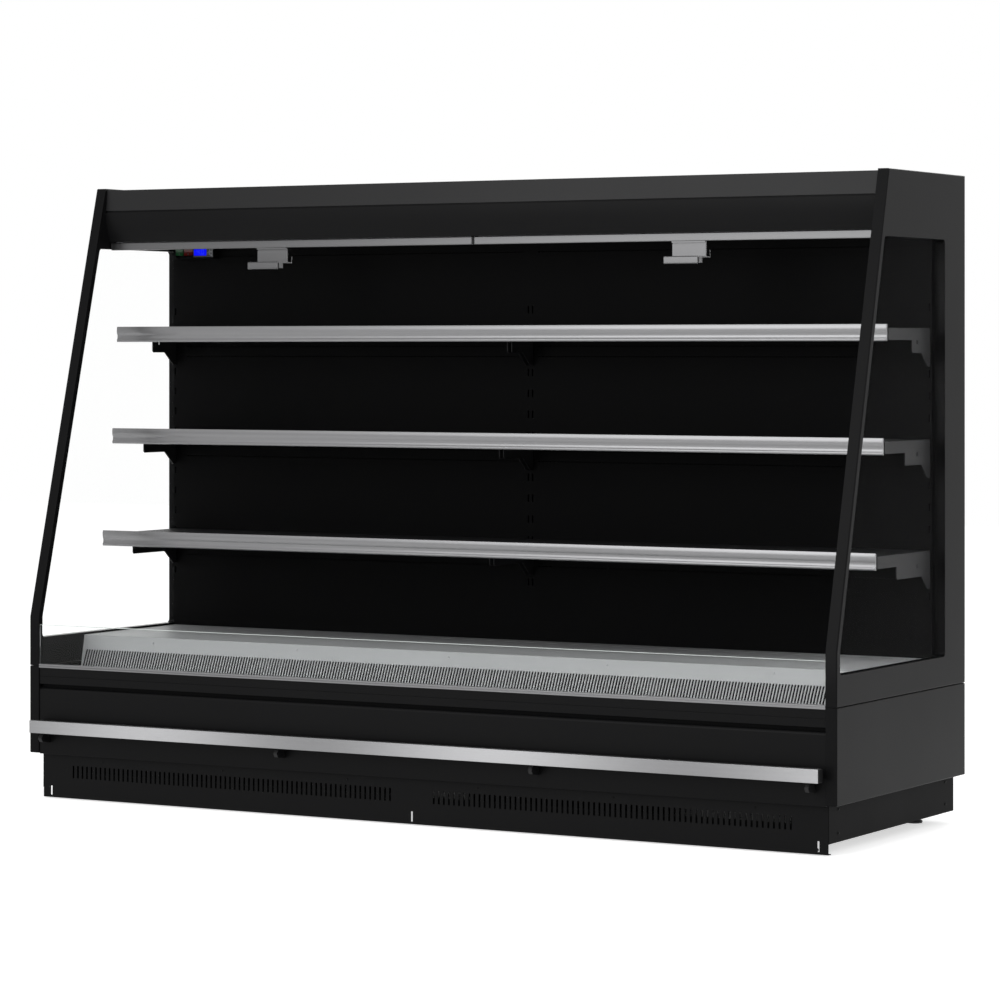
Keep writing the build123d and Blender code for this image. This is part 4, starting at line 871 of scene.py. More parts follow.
def make_lamp():
    """The lamp: an aluminium channel, a frosted cover and two end caps."""
    low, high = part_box("lamp")
    cap, wall, inset = 0.006, 0.0012, 0.0014
    start, end = low.x + cap, high.x - cap
    web, foot, rim, seat = high.z - 0.0015, high.z - 0.005, high.z - 0.0035, high.z - 0.0016
    channel = [(low.y, high.z), (low.y, foot), (low.y + wall, foot), (low.y + wall, web)]
    channel += [(high.y - wall, web), (high.y - wall, foot), (high.y, foot), (high.y, high.z)]
    base = soften(prism(channel, start, end), 0.0002)
    add_piece("lamp_channel", base, "case", "aluminium")
    middle, half = (low.y + high.y) / 2, (high.y - low.y) / 2 - inset
    cover = [
        (middle + half * math.cos(angle), rim - (rim - low.z) * math.sin(angle) ** 0.8)
        for angle in (math.pi * step / 16 for step in range(17))
    ]
    cover += [(low.y + inset, seat), (high.y - inset, seat)]
    diffuser = prism(cover, start, end)
    replace_node("lamp", "lamp_diffuser", diffuser, smooth=60)
    add_piece("lamp_end_caps", end_caps(low, high, cap, 0.0015), "case", "white_plastic")


# ---- night blinds ----
def make_blind(side_name, side):
    """One night blind: wound roll, cloth, pull bar and pull handle."""
    roller, curtain = f"blind_roller_{side_name}", f"blind_curtain_{side_name}"
    roll = wound_roll(*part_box(roller))
    replace_node(roller, f"blind_roll_{side_name}", roll, smooth=50)
    low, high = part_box(curtain)
    cloth = curtain_mesh(low, high)
    name = f"blind_cloth_{side_name}"
    piece = add_piece(name, cloth, None, "shade_fabric", (curtain,), smooth=60)
    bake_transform(piece)
    make_pull_bar(side_name, side)


def wound_roll(low, high):
    """The cloth wound on its roller, with stepped ends and a pin at each end."""
    pin, layer, core = 0.005, 0.0008, 0.0168
    length, radius, axle = high.x - low.x, (high.z - low.z) / 2, (low + high) / 2
    outline = [(0, 0), (0, pin * 0.85), (0.0006, pin), (pin, pin), (pin, 0.015)]
    for index in range(int((radius - core) / layer) + 1):
        reach = pin + 0.0042 - 0.0004 * (index % 2)
        outline.append((reach, min(core + index * layer, radius)))
    outline += [(length - along, size) for along, size in reversed(outline)]
    return turned(outline, (low.x, axle.y, axle.z), ALONG, 48)


def curtain_mesh(low, high):
    """The free end of the cloth, with its sewn side hems."""
    columns, rows, hem, hem_step = 90, 12, 0.012, 0.00015
    clear = high.x - low.x - 2 * hem
    across = [low.x, low.x + hem * 0.97, low.x + hem]
    across += [low.x + hem + clear * step / columns for step in range(1, columns)]
    across += [high.x - hem, high.x - hem * 0.97, high.x]
    vertices = []
    for face, inset in ((low.y, hem_step), (high.y, -hem_step)):
        for row in range(rows + 1):
            z = low.z + (high.z - low.z) * row / rows
            for x in across:
                hemmed = min(x - low.x, high.x - x) < hem * 0.98
                vertices.append((x, face if hemmed else face + inset, z))
    return two_sided(vertices, len(across), rows)


def make_pull_bar(side_name, side):
    """The drawn aluminium bar at the cloth's foot, with its hooked handle and end caps."""
    node = f"blind_bar_{side_name}"
    low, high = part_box(node)
    cap, lip, bend = 0.003, 0.0006, 0.0016
    bar_front, bar_low = low.y + 0.0405, high.z - 0.019
    bar_rear = bar_front + 0.0155
    slot_rear, slot_low = bar_rear - 0.0055, high.z - 0.002
    slot_front = slot_rear - 0.0012
    face = arc_points((bar_front + lip, bar_low + 2 * lip), 2 * lip, 270, 180, 4)
    face += [(bar_front - lip, bar_low + 0.0022), (bar_front, bar_low + 0.003)]
    face += arc_points((bar_front + bend, high.z - bend), bend, 180, 90, 5)
    face += [(slot_front, high.z), (slot_front, slot_low), (slot_rear, slot_low)]
    face.append((slot_rear, high.z))
    face += arc_points((bar_rear - bend, high.z - bend), bend, 90, 0, 4)
    face += arc_points((bar_rear - bend, bar_low + bend), bend, 0, -90, 4)
    bar = prism(face, low.x + cap, high.x - cap)

    skin, corner, middle, half = 0.003, 0.0035, side * 0.587, 0.044
    tab_low, tab_rear = bar_low - 0.004, bar_front + 0.006
    plate_front, plate_rear = bar_front + 0.004, bar_front + 0.0085
    grip_high, grip_floor = low.z + 0.019, low.z + skin
    web, hook_high = grip_high - skin, grip_high - skin + 0.018
    lip_rear, notch, hollow = low.y + skin + lip, low.y + skin + 0.005, low.y + 0.027
    outline = [
        (plate_rear, bar_low), (bar_front, bar_low), (bar_front, tab_low), (tab_rear, tab_low),
        (tab_rear, tab_low - skin), (plate_front, tab_low - skin), (plate_front, grip_high),
        *arc_points((low.y + corner, grip_high - corner), corner, 90, 180, 5),
        *arc_points((low.y + corner, low.z + corner), corner, 180, 270, 5)[:-1],
        (low.y + corner, low.z), (lip_rear, low.z), (lip_rear, web), (notch, web),
        (notch, grip_floor), (hollow, grip_floor), (hollow, web), (high.y, web),
        (high.y, hook_high), (high.y - skin, hook_high), (high.y - skin, grip_high),
        (plate_rear, grip_high),
    ]
    handle = soften(prism(outline, middle - half, middle + half), 0.0004)
    name, whole = f"blind_pull_{side_name}", joined([bar, handle])
    # Darker aluminium on the bar as painted shade, lighter sawn ends as painted light.
    piece = replace_node(node, name, whole, "shaded_bar_aluminium", 40)
    paint_faces(piece, "sawn_lit_aluminium", end_faces)
    caps = end_caps((low.x, bar_front, bar_low), (high.x, bar_rear, high.z), cap, 0.0012, 3)
    add_piece(f"blind_bar_caps_{side_name}", caps, BODY_OF[node], "black_plastic")


# ---- controls ----
DIGIT_SEGMENTS = {"4": "bcfg", "0": "abcdef"}
KEY_MARKS = {  # outlines in millimetres from the key's middle
    "button_up": [(-1.1, -0.77), (1.1, -0.77), (0, 1.1)],
    "button_down": [(-1.1, 0.77), (0, -1.1), (1.1, 0.77)],
    "button_set": [(-1.1, -0.3), (1.1, -0.3), (1.1, 0.3), (-1.1, 0.3)],
    "button_defrost": [(0, 1.32), (0.88, -0.33), (0, -1.1), (-0.88, -0.33)],
}


def digit_mesh(digit, left, bottom, y):
    """A seven-segment digit that stands a little proud of the display."""
    width, height, stroke = 0.0085, 0.013, 0.0016
    right, top, middle, gap = left + width, bottom + height, bottom + height / 2, stroke * 0.6
    spans = {
        "a": ((left + gap, top - stroke), (right - gap, top)),
        "b": ((right - stroke, middle + gap / 2), (right, top - gap)),
        "c": ((right - stroke, bottom + gap), (right, middle - gap / 2)),
        "d": ((left + gap, bottom), (right - gap, bottom + stroke)),
        "e": ((left, bottom + gap), (left + stroke, middle - gap / 2)),
        "f": ((left, middle + gap / 2), (left + stroke, top - gap)),
        "g": ((left + gap, middle - stroke / 2), (right - gap, middle + stroke / 2)),
    }
    meshes = []
    for segment in DIGIT_SEGMENTS[digit]:
        (x_low, z_low), (x_high, z_high) = spans[segment]
        meshes.append(box_mesh((x_low, y - 0.0002, z_low), (x_high, y + 0.0001, z_high)))
    return joined(meshes)


def key_field(centre, facing):
    """The part of the controller's face that the keys are in."""
    return facing.y < -0.5 and centre.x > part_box("button_set")[0].x - 0.002


def make_display():
    """The controller's face: a lit blue window with pale figures."""
    low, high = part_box("controller")
    face = replace_node("controller", "controller_face", soften(copy_of("controller"), 0.0003))
    paint_faces(face, "grey_plastic", key_field)
    left, recess, middle = low.x + 0.0015, low.y + 0.0008, (low.z + high.z) / 2
    width, half, foot = 0.04, 0.011, middle - 0.0065
    far = (left + width, recess + 0.0004, middle + half)
    lit = box_mesh((left, recess, middle - half), far)
    add_piece("display_backlight", lit, "case", "black_plastic", material="blue_light")
    places = {"4": left + 0.009, "0": left + 0.0235}
    figures = [digit_mesh(digit, place, foot, recess) for digit, place in places.items()]
    x, size = left + 0.0195, 0.0017
    figures.append(box_mesh((x, recess - 0.0002, foot), (x + size, recess + 0.0001, foot + size)))
    mesh = joined(figures)
    add_piece("display_figures", mesh, "case", "white_plastic", material="pale_light")


def make_rocker(node):
    """A rocker switch with a dished face, raised ends and a moulded mark."""
    low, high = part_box(node)
    x, z, half = (low.x + high.x) / 2, (low.z + high.z) / 2, (high.z - low.z) / 2
    parts = [-1 + 2 * step / 14 for step in range(15)]
    outline = [(low.y + 0.0014 * (1 - part**2), z + half * part * 0.98) for part in parts]
    outline += [(high.y, z + half * 0.9), (high.y, z - half * 0.9)]
    body = soften(prism(outline, low.x, high.x), 0.0004, 2, 40)
    replace_node(node, f"{node}_rocker", body, smooth=40)
    stroke, face, depth = 0.0007, low.y + 0.0002, 0.0014
    bar = (x - stroke, face, z + half * 0.35), (x + stroke, face + depth, z + half * 0.75)
    ring = ring_mesh((x, face, z - half * 0.55), 0.0022, 0.0011, depth)
    marks = joined([box_mesh(*bar), ring])
    add_piece(f"{node}_marks", marks, BODY_OF[node], "black_plastic")


def ring_mesh(centre, outer, wall, depth):
    """A flat ring that faces the front."""
    walls = ((outer, 0), (outer - wall, 0), (outer - wall, depth), (outer, depth))
    return moved(looped([[(x, y, z) for x, z in circle(size, 20)] for size, y in walls]), centre)


def make_button(node):
    """A small square key with rounded edges and a mark."""
    replace_node(node, f"{node}_key", soften(copy_of(node), 0.0006, 3), "black_plastic")
    low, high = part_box(node)
    middle, unit = (low + high) / 2, 0.001
    outline = [(middle.x + x * unit, middle.z + z * unit) for x, z in KEY_MARKS[node]]
    mark = plate(outline, low.y - 0.00005, low.y + 0.0003)
    add_piece(f"{node}_mark", mark, BODY_OF[node], "grey_plastic")


# ---- fans and machine ----
PIPE_RADIUS = 0.005
DISCHARGE_HEIGHT = 0.15  # where the hot pipe leaves the compressor
CONDENSER_DEPTH = 0.05  # of the coil, without its shroud


def blade_mesh(hub, tip, chord):
    """One twisted and cambered fan blade that points up, with the air going along Y."""
    across, along, root = 8, 8, hub * 0.9
    vertices = []
    for face in (-1, 1):
        for row in range(along + 1):
            part = row / along
            radius = root + (tip - root) * part
            pitch = math.radians(42 - 18 * part)
            width = chord * (0.8 + 0.35 * part)
            for column in range(across + 1):
                run = column / across - 0.5
                thick = 0.0009 * (1 - (2 * run) ** 4) + 0.0002
                camber = 0.09 * width * (1 - (2 * run) ** 2)
                x = run * width * math.cos(pitch)
                y = run * width * math.sin(pitch) + camber * math.cos(pitch) + face * thick
                vertices.append((x, y, math.sqrt(max(radius**2 - x**2, 1e-8))))
    return two_sided(vertices, across + 1, along)


def make_fan(node, hub, chord):
    """An axial fan with a domed hub and twisted blades."""
    blades = 5
    low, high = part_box(node)
    centre, tip, back = (low + high) / 2, (high.z - low.z) / 2 - 0.0003, (high.y - low.y) / 2
    dome = [(-back, 0), (-back, hub * 0.55), (0.0015 - back, hub * 0.85), (0.004 - back, hub)]
    rear = [(back - 0.0005, hub), (back, hub - 0.0005), (back, 0)]
    meshes = [turned(dome + rear, centre, DEEP, 40)]
    for index in range(blades):
        turn = Matrix.Rotation(2 * math.pi * index / blades, 3, "Y")
        meshes.append(moved(blade_mesh(hub, tip, chord), centre, turn))
    replace_node(node, f"{node}_rotor", joined(meshes), smooth=45)


def make_compressor():
    """The compressor: a domed welded shell, feet, rubber mounts and terminal cover."""
    low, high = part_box("compressor")
    base, top = low.z + 0.01, low.z + 0.013
    half, radius, dome = (high.x - low.x) / 2, 0.078, 0.03
    x, y, height = (low.x + high.x) / 2, high.y - half, high.z - top
    seam, shoulder, crown = height * 0.52, height - dome, radius * 0.94
    shell = [
        (0, 0), (0, radius * 0.82), (0.004, radius * 0.9), (0.014, radius * 0.965),
        (seam - 0.004, radius * 0.965), (seam - 0.002, radius), (seam + 0.003, radius),
        (seam + 0.005, radius * 0.95), (shoulder, crown),
    ]
    for angle in (math.pi / 2 * step / 8 for step in range(1, 8)):
        shell.append((shoulder + dome * math.sin(angle), crown * math.cos(angle) ** 0.6))
    body = turned([*shell, (height, 0)], (x, y, top), UP, 56)
    foot = soften(box_mesh((x - half, y - half, base), (x + half, y + half, top)), 0.001)
    reach = y - low.y
    stub = [(0, 0), (0, 0.007), (reach - 0.001, 0.007), (reach, 0.006), (reach, 0)]
    outlet = turned(stub, (x, y, DISCHARGE_HEIGHT), (0, -1, 0), 20)
    cover = box_mesh((x - 0.03, y + 0.04, top + 0.03), (x + 0.03, high.y - 0.002, top + 0.09))
    soften(cover, 0.004, 3)
    replace_node("compressor", "compressor_shell", joined([body, foot, outlet]), smooth=45)
    add_piece("compressor_terminal_cover", cover, "case", "black_plastic")
    grommet = [(0, 0), (0, 0.011), (0.0015, 0.012), (0.004, 0.012)]
    grommet += [(0.005, 0.0095), (0.006, 0.012), (0.01, 0.012), (0.01, 0)]
    out = radius - 0.008
    corners = [(x + a, y + b, low.z) for a in (-out, out) for b in (-out, out)]
    mounts = joined([turned(grommet, corner, UP, 24) for corner in corners])
    add_piece("compressor_mounts", mounts, "case", "black_plastic", (), "rubber", 40)


def fin_stack(low, high, pitch, material):
    """A row of thin fins between two corners, as one mesh."""
    thickness, length = 0.00025, high[0] - low[0]
    count = int(length / pitch)
    fin = box_mesh((0, low[1], low[2]), (thickness, high[1], high[2]))
    step = (length - thickness) / (count - 1)
    return moved(staggered(fin, count, 1, (step, 1.0), 0.0, material), (low[0], 0, 0))


def make_coil(node, pitch, rear, fin_span, tube_rows, finish, plate_finish, braces=()):
    """A finned coil as deep as rear: its fins, copper tubes and end plates."""
    low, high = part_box(node)
    name, inset, land, stub, tube = node.removesuffix("_coil"), 0.006, 0.001, 0.004, 0.0048
    start, end = low.x + inset, high.x - inset
    corners = (start, low.y + land, fin_span[0]), (end, rear - land, fin_span[1])
    replace_node(node, f"{name}_fins", fin_stack(*corners, pitch, finish), finish, 20)
    length = end - start + 2 * stub
    outline = [(0, 0), (0, tube), (length, tube), (length, 0)]
    tubes = joined([turned(outline, (start - stub, y, z), ALONG, 14) for y, z in tube_rows])
    add_piece(f"{name}_tubes", tubes, "case", "copper", smooth=40)
    ends = [((x, low.y, low.z), (x + SHEET, rear, high.z)) for x in (low.x, high.x - SHEET)]
    plates = joined([soften(box_mesh(*corners), 0.0003) for corners in (*ends, *braces)])
    add_piece(f"{name}_plates", plates, "case", "zinc_steel", (), plate_finish)


def make_evaporator_coil(pitch):
    """The coil in the well, with six upright rows of three tubes."""
    low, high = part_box("evaporator_coil")
    heights = [low.z + height for height in (0.022, 0.05, 0.078)]
    rows = [(low.y + 0.03 + 0.032 * index, z) for index in range(6) for z in heights]
    span = low.z + 0.003, low.z + 0.1
    make_coil("evaporator_coil", pitch, high.y, span, rows, "coil_aluminium", "zinc_steel")


def make_condenser_coil(pitch):
    """The coil of the machine space, with two upright rows of five tubes."""
    low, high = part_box("condenser")
    rear = low.y + CONDENSER_DEPTH
    heights = [low.z + 0.02 + 0.03 * level for level in range(5)]
    rows = [(low.y + 0.014 + 0.022 * index, z) for index in range(2) for z in heights]
    # The fins and plates take the charcoal finish: a black-painted coil made darker still, as
    # painted shade behind the kick vents.
    span, coil_black_and_shade = (low.z + 0.002, high.z - 0.002), "charcoal_steel"
    levels = low.z, high.z - SHEET
    braces = [((low.x, rear, z), (high.x, high.y, z + SHEET)) for z in levels]
    make_coil("condenser", pitch, rear, span, rows, coil_black_and_shade, coil_black_and_shade, braces)


def make_shroud():
    """The condenser's fan plate, with a round opening."""
    low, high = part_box("condenser")
    radius, steps = 0.072, 64
    x, half_x = (low.x + high.x) / 2, (high.x - low.x) / 2
    z, half_z = (low.z + high.z) / 2, (high.z - low.z) / 2
    inner, outer = [], []
    for a, b in circle(1, steps, 180 / steps):
        reach = min(half_x / max(abs(a), 1e-6), half_z / max(abs(b), 1e-6))
        inner.append((x + radius * a, z + radius * b))
        outer.append((x + reach * a, z + reach * b))
    front, back = high.y - SHEET, high.y
    edges = ((inner, front), (inner, back), (outer, back), (outer, front))
    rings = [[(a, y, b) for a, b in ring] for ring, y in edges]
    add_piece("condenser_shroud", looped(rings), "case", "black_steel", smooth=30)


def make_feet():
    """Levelling feet with a moulded pad, a threaded stem and a lock nut."""
    low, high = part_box("levelling_feet")
    radius = 0.02
    foot = [(0, 0), (0, 0.0185), (0.001, 0.0195), (0.004, radius)]
    foot += [(0.0065, 0.0185), (0.008, 0.012), (0.008, 0)]
    thread = [(step * 0.001, 0.0058 if step % 2 else 0.0068) for step in range(13)]
    thread = [(0, 0), *thread, (0.012, 0)]
    nut = [(0, 0), (0, 0.0095), (0.0008, 0.011), (0.008, 0.011), (0.0085, 0)]
    pads, stems = [], []
    for x in (low.x + radius, high.x - radius):
        for y in (low.y + radius, high.y - radius):
            pads.append(turned(foot, (x, y, 0), UP, 40))
            stems.append(turned(thread, (x, y, 0.0075), UP, 20))
            stems.append(turned(nut, (x, y, 0.0185), UP, 6))
    replace_node("levelling_feet", "foot_pads", joined(pads), smooth=40)
    add_piece("foot_stems", joined(stems), "case", "zinc_steel", smooth=20)


def make_pipes():
    """The copper pipes, with smooth bends where the pipe bender was."""
    low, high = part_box("refrigerant_pipes")
    shell_low, shell_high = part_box("compressor")
    coil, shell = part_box("condenser")[0].x, (shell_low.x + shell_high.x) / 2
    y, rise, riser = low.y + PIPE_RADIUS, DISCHARGE_HEIGHT, low.x + PIPE_RADIUS
    floor = low.z + PIPE_RADIUS
    discharge = [(shell, shell_low.y, rise), (shell, y, rise), (coil, y, rise)]
    liquid = [(coil, y, floor), (riser, y, floor), (riser, y, high.z)]
    bend, suction_radius = 0.022, 0.007
    tubes = [bent_tube(route, bend, PIPE_RADIUS) for route in (discharge, liquid)]
    suction_y = shell_high.y - (shell_high.x - shell_low.x) / 2
    suction = [Vector((shell, suction_y, z)) for z in (shell_high.z, high.z)]
    tubes.append(tube_along(suction, suction_radius, 18))
    replace_node("refrigerant_pipes", "copper_pipes", joined(tubes), smooth=50)


def make_motors():
    """Fan motors with rounded housings on folded straps."""
    replace_node("fan_motors", "motor_housings", soften(copy_of("fan_motors"), 0.0012))


# ---- screws ----
def screw_head(radius):
    """A round screw head with a cross on it, on z = 0 and facing +Z."""
    height, long, wide = radius * 0.55, radius * 0.55, radius * 0.1
    outline = [(0, 0), (0, radius), (height * 0.45, radius), (height * 0.85, radius * 0.75)]
    parts = [turned([*outline, (height, radius * 0.4), (height, 0)], (0, 0, 0), UP, 14)]
    for turn in (0, math.pi / 2):
        arm = box_mesh((-long, -wide, height * 0.9), (long, wide, height * 1.02))
        parts.append(moved(arm, turn=Matrix.Rotation(turn, 3, "Z")))
    return joined(parts)


def place_screws(name, places, radius, slot, seed):
    """Screws at (x, y, z, facing) places, grown by the screw tree into one mesh."""
    source = bpy.data.meshes.new("places")
    source.from_pydata([place[:3] for place in places], [], [])
    facing = source.attributes.new("facing", "FLOAT_VECTOR", "POINT")
    for item, place in zip(facing.data, places):
        item.vector = place[3]
    pattern = in_scene("pattern", screw_head(radius))
    settings = {"Screw": pattern, "Seed": seed, "Material": MATERIALS[slot]}
    mesh = grow(screws_tree, settings, source)
    bpy.data.objects.remove(pattern)
    add_piece(name, mesh, "case", slot, smooth=40)


def spread(low, high, count):
    """The middles of equal steps between two ends."""
    return [low + (high - low) * (index + 0.5) / count for index in range(count)]


def make_screws(radius, seed):
    """The sheet screws of the grille, the plinth, the kick plate and the ceiling panel."""
    small, fine, kick_height, ceiling_start = radius * 0.8, 0.0026, 0.098, 0.15
    low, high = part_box("air_return_grille")
    y, z, off_plate = high.y - GRILLE_FLANGE - 0.0022, high.z - 0.012, (0, -0.983, 0.182)
    places = [(x, y, z, off_plate) for x in spread(low.x, high.x, 5)]
    place_screws("grille_screws", places, fine, "grey_steel", seed)
    low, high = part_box("plinth_panels")
    heights = low.z + 0.014, high.z - 0.014
    places = [(x, high.y, z, DEEP) for x in spread(low.x, high.x, 7) for z in heights]
    for x, facing in ((low.x, (-1, 0, 0)), (high.x, ALONG)):
        for y in (low.y + 0.05, high.y - 0.05):
            places += [(x, y, z, facing) for z in (low.z + 0.02, 0.1)]
    place_screws("plinth_screws", places, radius, "black_steel", seed)
    low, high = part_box("kick_plate")
    places = [(x, low.y, kick_height, (0, -1, 0)) for x in spread(low.x, high.x, 6)]
    place_screws("kick_screws", places, small, "black_steel", seed)
    low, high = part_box("ceiling_panel")
    along = spread(low.x + ceiling_start, high.x, 6)
    places = [(x, high.y - 0.02, low.z, (0, 0, -1)) for x in along]
    place_screws("ceiling_screws", places, small, "zinc_steel", seed)


# ---- studio ----
WHITE = (1, 1, 1, 1)


def seen_directly(tree):
    """1 for rays that go straight, or by a mirror or glass, from the camera."""
    path = add_node(tree, "ShaderNodeLightPath").outputs
    rays = {0: path["Is Camera Ray"], 1: path["Is Glossy Ray"]}
    first = add_node(tree, "ShaderNodeMath", rays, operation="MAXIMUM")
    rays = {0: first, 1: path["Is Transmission Ray"]}
    return add_node(tree, "ShaderNodeMath", rays, operation="MAXIMUM")


def make_floor():
    """A wide pale floor that shows white and keeps the fridge's shadow."""
    size = 14
    mesh = bpy.data.meshes.new("floor")
    corners = [(-size, -size, 0), (size, -size, 0), (size, size, 0), (-size, size, 0)]
    mesh.from_pydata(corners, [], [(0, 1, 2, 3)])
    material, tree = new_material("studio_floor")
    matt = add_node(tree, "ShaderNodeBsdfDiffuse", {"Color": (0.8, 0.8, 0.8, 1)})
    glow = add_node(tree, "ShaderNodeEmission", {"Color": WHITE, "Strength": 0.62})
    lit = add_node(tree, "ShaderNodeAddShader", {0: matt, 1: glow})
    mixed = add_node(tree, "ShaderNodeMixShader", {0: seen_directly(tree), 1: matt, 2: lit})
    add_node(tree, "ShaderNodeOutputMaterial", {"Surface": mixed})
    mesh.materials.append(material)
    in_scene("floor", mesh)


def make_world(sky):
    """White behind the fridge, and a softer even light on it."""
    world = bpy.data.worlds.new("studio")
    bpy.context.scene.world = world
    world.use_nodes = True
    tree = world.node_tree
    tree.nodes.clear()
    white = add_node(tree, "ShaderNodeBackground", {"Color": WHITE, "Strength": 1.0})
    soft = add_node(tree, "ShaderNodeBackground", {"Color": WHITE, "Strength": sky})
    mixed = add_node(tree, "ShaderNodeMixShader", {0: seen_directly(tree), 1: soft, 2: white})
    add_node(tree, "ShaderNodeOutputWorld", {"Surface": mixed})


def add_light(name, place, target, size, power):
    """A round area light that is turned to a target."""
    light = bpy.data.lights.new(name, "AREA")
    light.shape, light.size, light.energy = "DISK", size, power
    lamp = in_scene(name, light)
    lamp.location = place
    aim = Vector(target) - Vector(place)
    lamp.rotation_euler = aim.to_track_quat("-Z", "Y").to_euler()


def make_camera():
    """The photograph's view: level, turned 30 degrees, with the horizon above the middle."""
    data = bpy.data.cameras.new("camera")
    data.lens, data.sensor_width = 132.84, 36
    data.shift_y, data.clip_end = -0.151, 100
    camera = in_scene("camera", data)
    camera.location = (4.5416, -7.7732, 1.126)
    camera.rotation_euler = (math.radians(90), 0, math.radians(30))
    bpy.context.scene.camera = camera


# ---- settings ----
def colour_setting(name, description, default):
    return FloatVectorProperty(
        name=name, description=description, default=default, size=3, subtype="COLOR", min=0, max=1
    )


def length_setting(name, description, default):
    return FloatProperty(
        name=name, description=description, default=default, min=0.0001, max=2.0, precision=4,
        subtype="DISTANCE", unit="LENGTH",
    )


def power_setting(name, description, default):
    return FloatProperty(name=name, description=description, default=default, unit="POWER")


class FridgeFinishes(PropertyGroup):
    """Colours of the fridge's main finishes."""

    black_paint: colour_setting("Black paint", "Powder coat of the case", (0.0035, 0.0035, 0.0037))
    deck_paint: colour_setting("Deck paint", "Light grey coat of the deck", (0.3, 0.305, 0.31))
    aluminium: colour_setting("Aluminium", "Drawn aluminium of rails and bars", (0.21, 0.21, 0.214))


class FridgeFineParts(PropertyGroup):
    """Sizes of what repeats on the fridge."""

    grille_slot_pitch: length_setting("Slot pitch", "Step between return air slots", 0.0079)
    grille_slot_width: length_setting("Slot width", "Width of a return air slot", 0.0048)
    grille_slot_bottom: length_setting("Slot bottom", "Lower end of the return air slots", 0.29)
    grille_slot_slant: FloatProperty(
        name="Slot slant", description="Sideways lean of the air slots", default=0.16, min=0, max=1
    )
    grille_slot_top: length_setting("Slot top", "Upper end of the return air slots", 0.362)
    perforation_pitch: length_setting("Perforation pitch", "Step of the back panel slots", 0.0105)
    comb_cell: length_setting("Comb cell", "Width of one air straightener cell", 0.0125)
    fin_pitch: length_setting("Fin pitch", "Step between coil fins", 0.008)
    screw_radius: length_setting("Screw radius", "Radius of a sheet screw's head", 0.0032)
    screw_seed: IntProperty(
        name="Screw seed", description="Turns the screw heads", default=7, min=0
    )


class FridgeStudio(PropertyGroup):
    """Light and floor of the studio."""

    key_power: power_setting("Key light", "Power of the key light", 70.0)
    top_power: power_setting("Top light", "Power of the top light", 60.0)
    fill_power: power_setting("Fill light", "Power of the fill light", 45.0)
    sky: FloatProperty(
        name="Sky", description="Brightness of the surroundings", default=0.55, min=0, max=2
    )


# ---- operators ----
class FRIDGE_OT_finishes(Operator):
    """Make every finish and give it to the CAD pieces"""

    bl_idname = "fridge.finishes"
    bl_label = "Finishes"

    def execute(self, context):
        make_finishes(context.scene.fridge_finishes)
        for node, piece in frame["nodes"].items():
            piece.data.materials.clear()
            piece.data.materials.append(MATERIALS[SLOT_OF[node]])
        return {"FINISHED"}


class FRIDGE_OT_panels(Operator):
    """Round the edges of the sheet metal, frame, rails and glass"""

    bl_idname = "fridge.panels"
    bl_label = "Painted Sheet and Rails"

    def execute(self, context):
        for node, width in EDGE_WIDTHS.items():
            softened_copy(node, width)
        return {"FINISHED"}


class FRIDGE_OT_return_grille(Operator):
    """Make the return air grille and the deck trays"""

    bl_idname = "fridge.return_grille"
    bl_label = "Return Grille and Deck"

    def execute(self, context):
        make_return_grille(context.scene.fridge_parts)
        make_deck()
        return {"FINISHED"}


class FRIDGE_OT_back_panels(Operator):
    """Make the back panels with their rows of air slots"""

    bl_idname = "fridge.back_panels"
    bl_label = "Back Panels"

    def execute(self, context):
        make_back_panels(context.scene.fridge_parts)
        return {"FINISHED"}


class FRIDGE_OT_canopy(Operator):
    """Make the canopy's fascia, air straightener and lamp"""

    bl_idname = "fridge.canopy"
    bl_label = "Canopy"

    def execute(self, context):
        make_fascia()
        make_honeycomb(context.scene.fridge_parts)
        make_lamp()
        return {"FINISHED"}


class FRIDGE_OT_blinds(Operator):
    """Make both night blinds"""

    bl_idname = "fridge.blinds"
    bl_label = "Night Blinds"

    def execute(self, context):
        for side_name, side in SIDES.items():
            make_blind(side_name, side)
        return {"FINISHED"}


class FRIDGE_OT_controls(Operator):
    """Make the control box, display, rockers and keys"""

    bl_idname = "fridge.controls"
    bl_label = "Controls"

    def execute(self, context):
        softened_copy("control_box", 0.0006)
        make_display()
        for use in ("lamp", "power"):
            make_rocker(f"{use}_switch")
        for key in ("set", "up", "down", "defrost"):
            make_button(f"button_{key}")
        return {"FINISHED"}


class FRIDGE_OT_evaporator(Operator):
    """Make the evaporator coil and its fans"""

    bl_idname = "fridge.evaporator"
    bl_label = "Evaporator"

    def execute(self, context):
        make_evaporator_coil(context.scene.fridge_parts.fin_pitch)
        for side_name in SIDES:
            make_fan(f"evaporator_fan_{side_name}", hub=0.019, chord=0.026)
        return {"FINISHED"}


class FRIDGE_OT_machine(Operator):
    """Make the compressor, condenser, pipes, motors and feet"""

    bl_idname = "fridge.machine"
    bl_label = "Machine Compartment"

    def execute(self, context):
        make_compressor()
        make_condenser_coil(context.scene.fridge_parts.fin_pitch)
        make_shroud()
        make_fan("condenser_fan", hub=0.024, chord=0.034)
        make_motors()
        make_pipes()
        make_feet()
        return {"FINISHED"}


class FRIDGE_OT_screws(Operator):
    """Put the sheet screws where the panels are held"""

    bl_idname = "fridge.screws"
    bl_label = "Screws"

    def execute(self, context):
        parts = context.scene.fridge_parts
        make_screws(parts.screw_radius, parts.screw_seed)
        return {"FINISHED"}


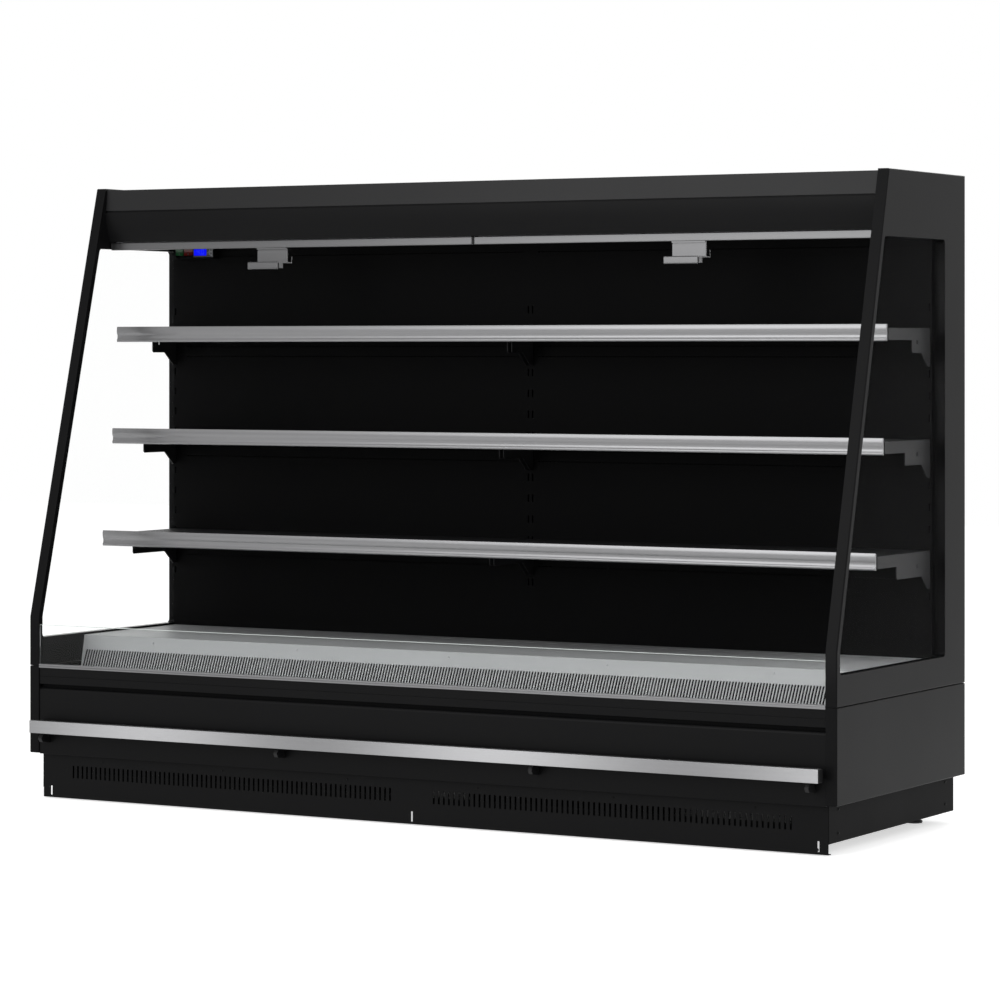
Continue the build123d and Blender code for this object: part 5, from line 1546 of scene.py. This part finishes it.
class FRIDGE_OT_studio(Operator):
    """Set up the floor, lights, surroundings and camera"""

    bl_idname = "fridge.studio"
    bl_label = "Studio"

    def execute(self, context):
        studio = context.scene.fridge_studio
        make_floor()
        make_world(studio.sky)
        add_light("key", (-1.2, -4.4, 2.3), (0, 0, 0.8), 3.0, studio.key_power)
        add_light("top", (0.8, -2.6, 4.4), (0, 0, 0.5), 2.4, studio.top_power)
        add_light("fill", (4.6, -1.6, 2.4), (0.6, 0, 0.7), 2.4, studio.fill_power)
        add_light("back", (0.5, 3.6, 3.2), (0, 0, 1.0), 2.6, studio.fill_power)
        make_camera()
        context.scene.view_settings.view_transform = "Standard"
        return {"FINISHED"}


STEPS = (
    FRIDGE_OT_finishes,
    FRIDGE_OT_panels,
    FRIDGE_OT_return_grille,
    FRIDGE_OT_back_panels,
    FRIDGE_OT_canopy,
    FRIDGE_OT_blinds,
    FRIDGE_OT_controls,
    FRIDGE_OT_evaporator,
    FRIDGE_OT_machine,
    FRIDGE_OT_screws,
    FRIDGE_OT_studio,
)
SETTINGS = {
    "fridge_finishes": FridgeFinishes,
    "fridge_parts": FridgeFineParts,
    "fridge_studio": FridgeStudio,
}


class FRIDGE_PT_steps(Panel):
    """The fridge's steps in the sidebar"""

    bl_idname = "FRIDGE_PT_steps"
    bl_label = "Display Fridge"
    bl_space_type = "VIEW_3D"
    bl_region_type = "UI"
    bl_category = "Fridge"

    def draw(self, context):
        for step in STEPS:
            self.layout.operator(step.bl_idname)


def register():
    for item in (*SETTINGS.values(), *STEPS, FRIDGE_PT_steps):
        bpy.utils.register_class(item)
    for name, group in SETTINGS.items():
        setattr(bpy.types.Scene, name, PointerProperty(type=group))


def unregister():
    for name in SETTINGS:
        delattr(bpy.types.Scene, name)
    for item in reversed((*SETTINGS.values(), *STEPS, FRIDGE_PT_steps)):
        bpy.utils.unregister_class(item)


def main():
    register()
    for step in STEPS:
        group, name = step.bl_idname.split(".")
        getattr(getattr(bpy.ops, group), name)()


if __name__ == "__main__":
    main()
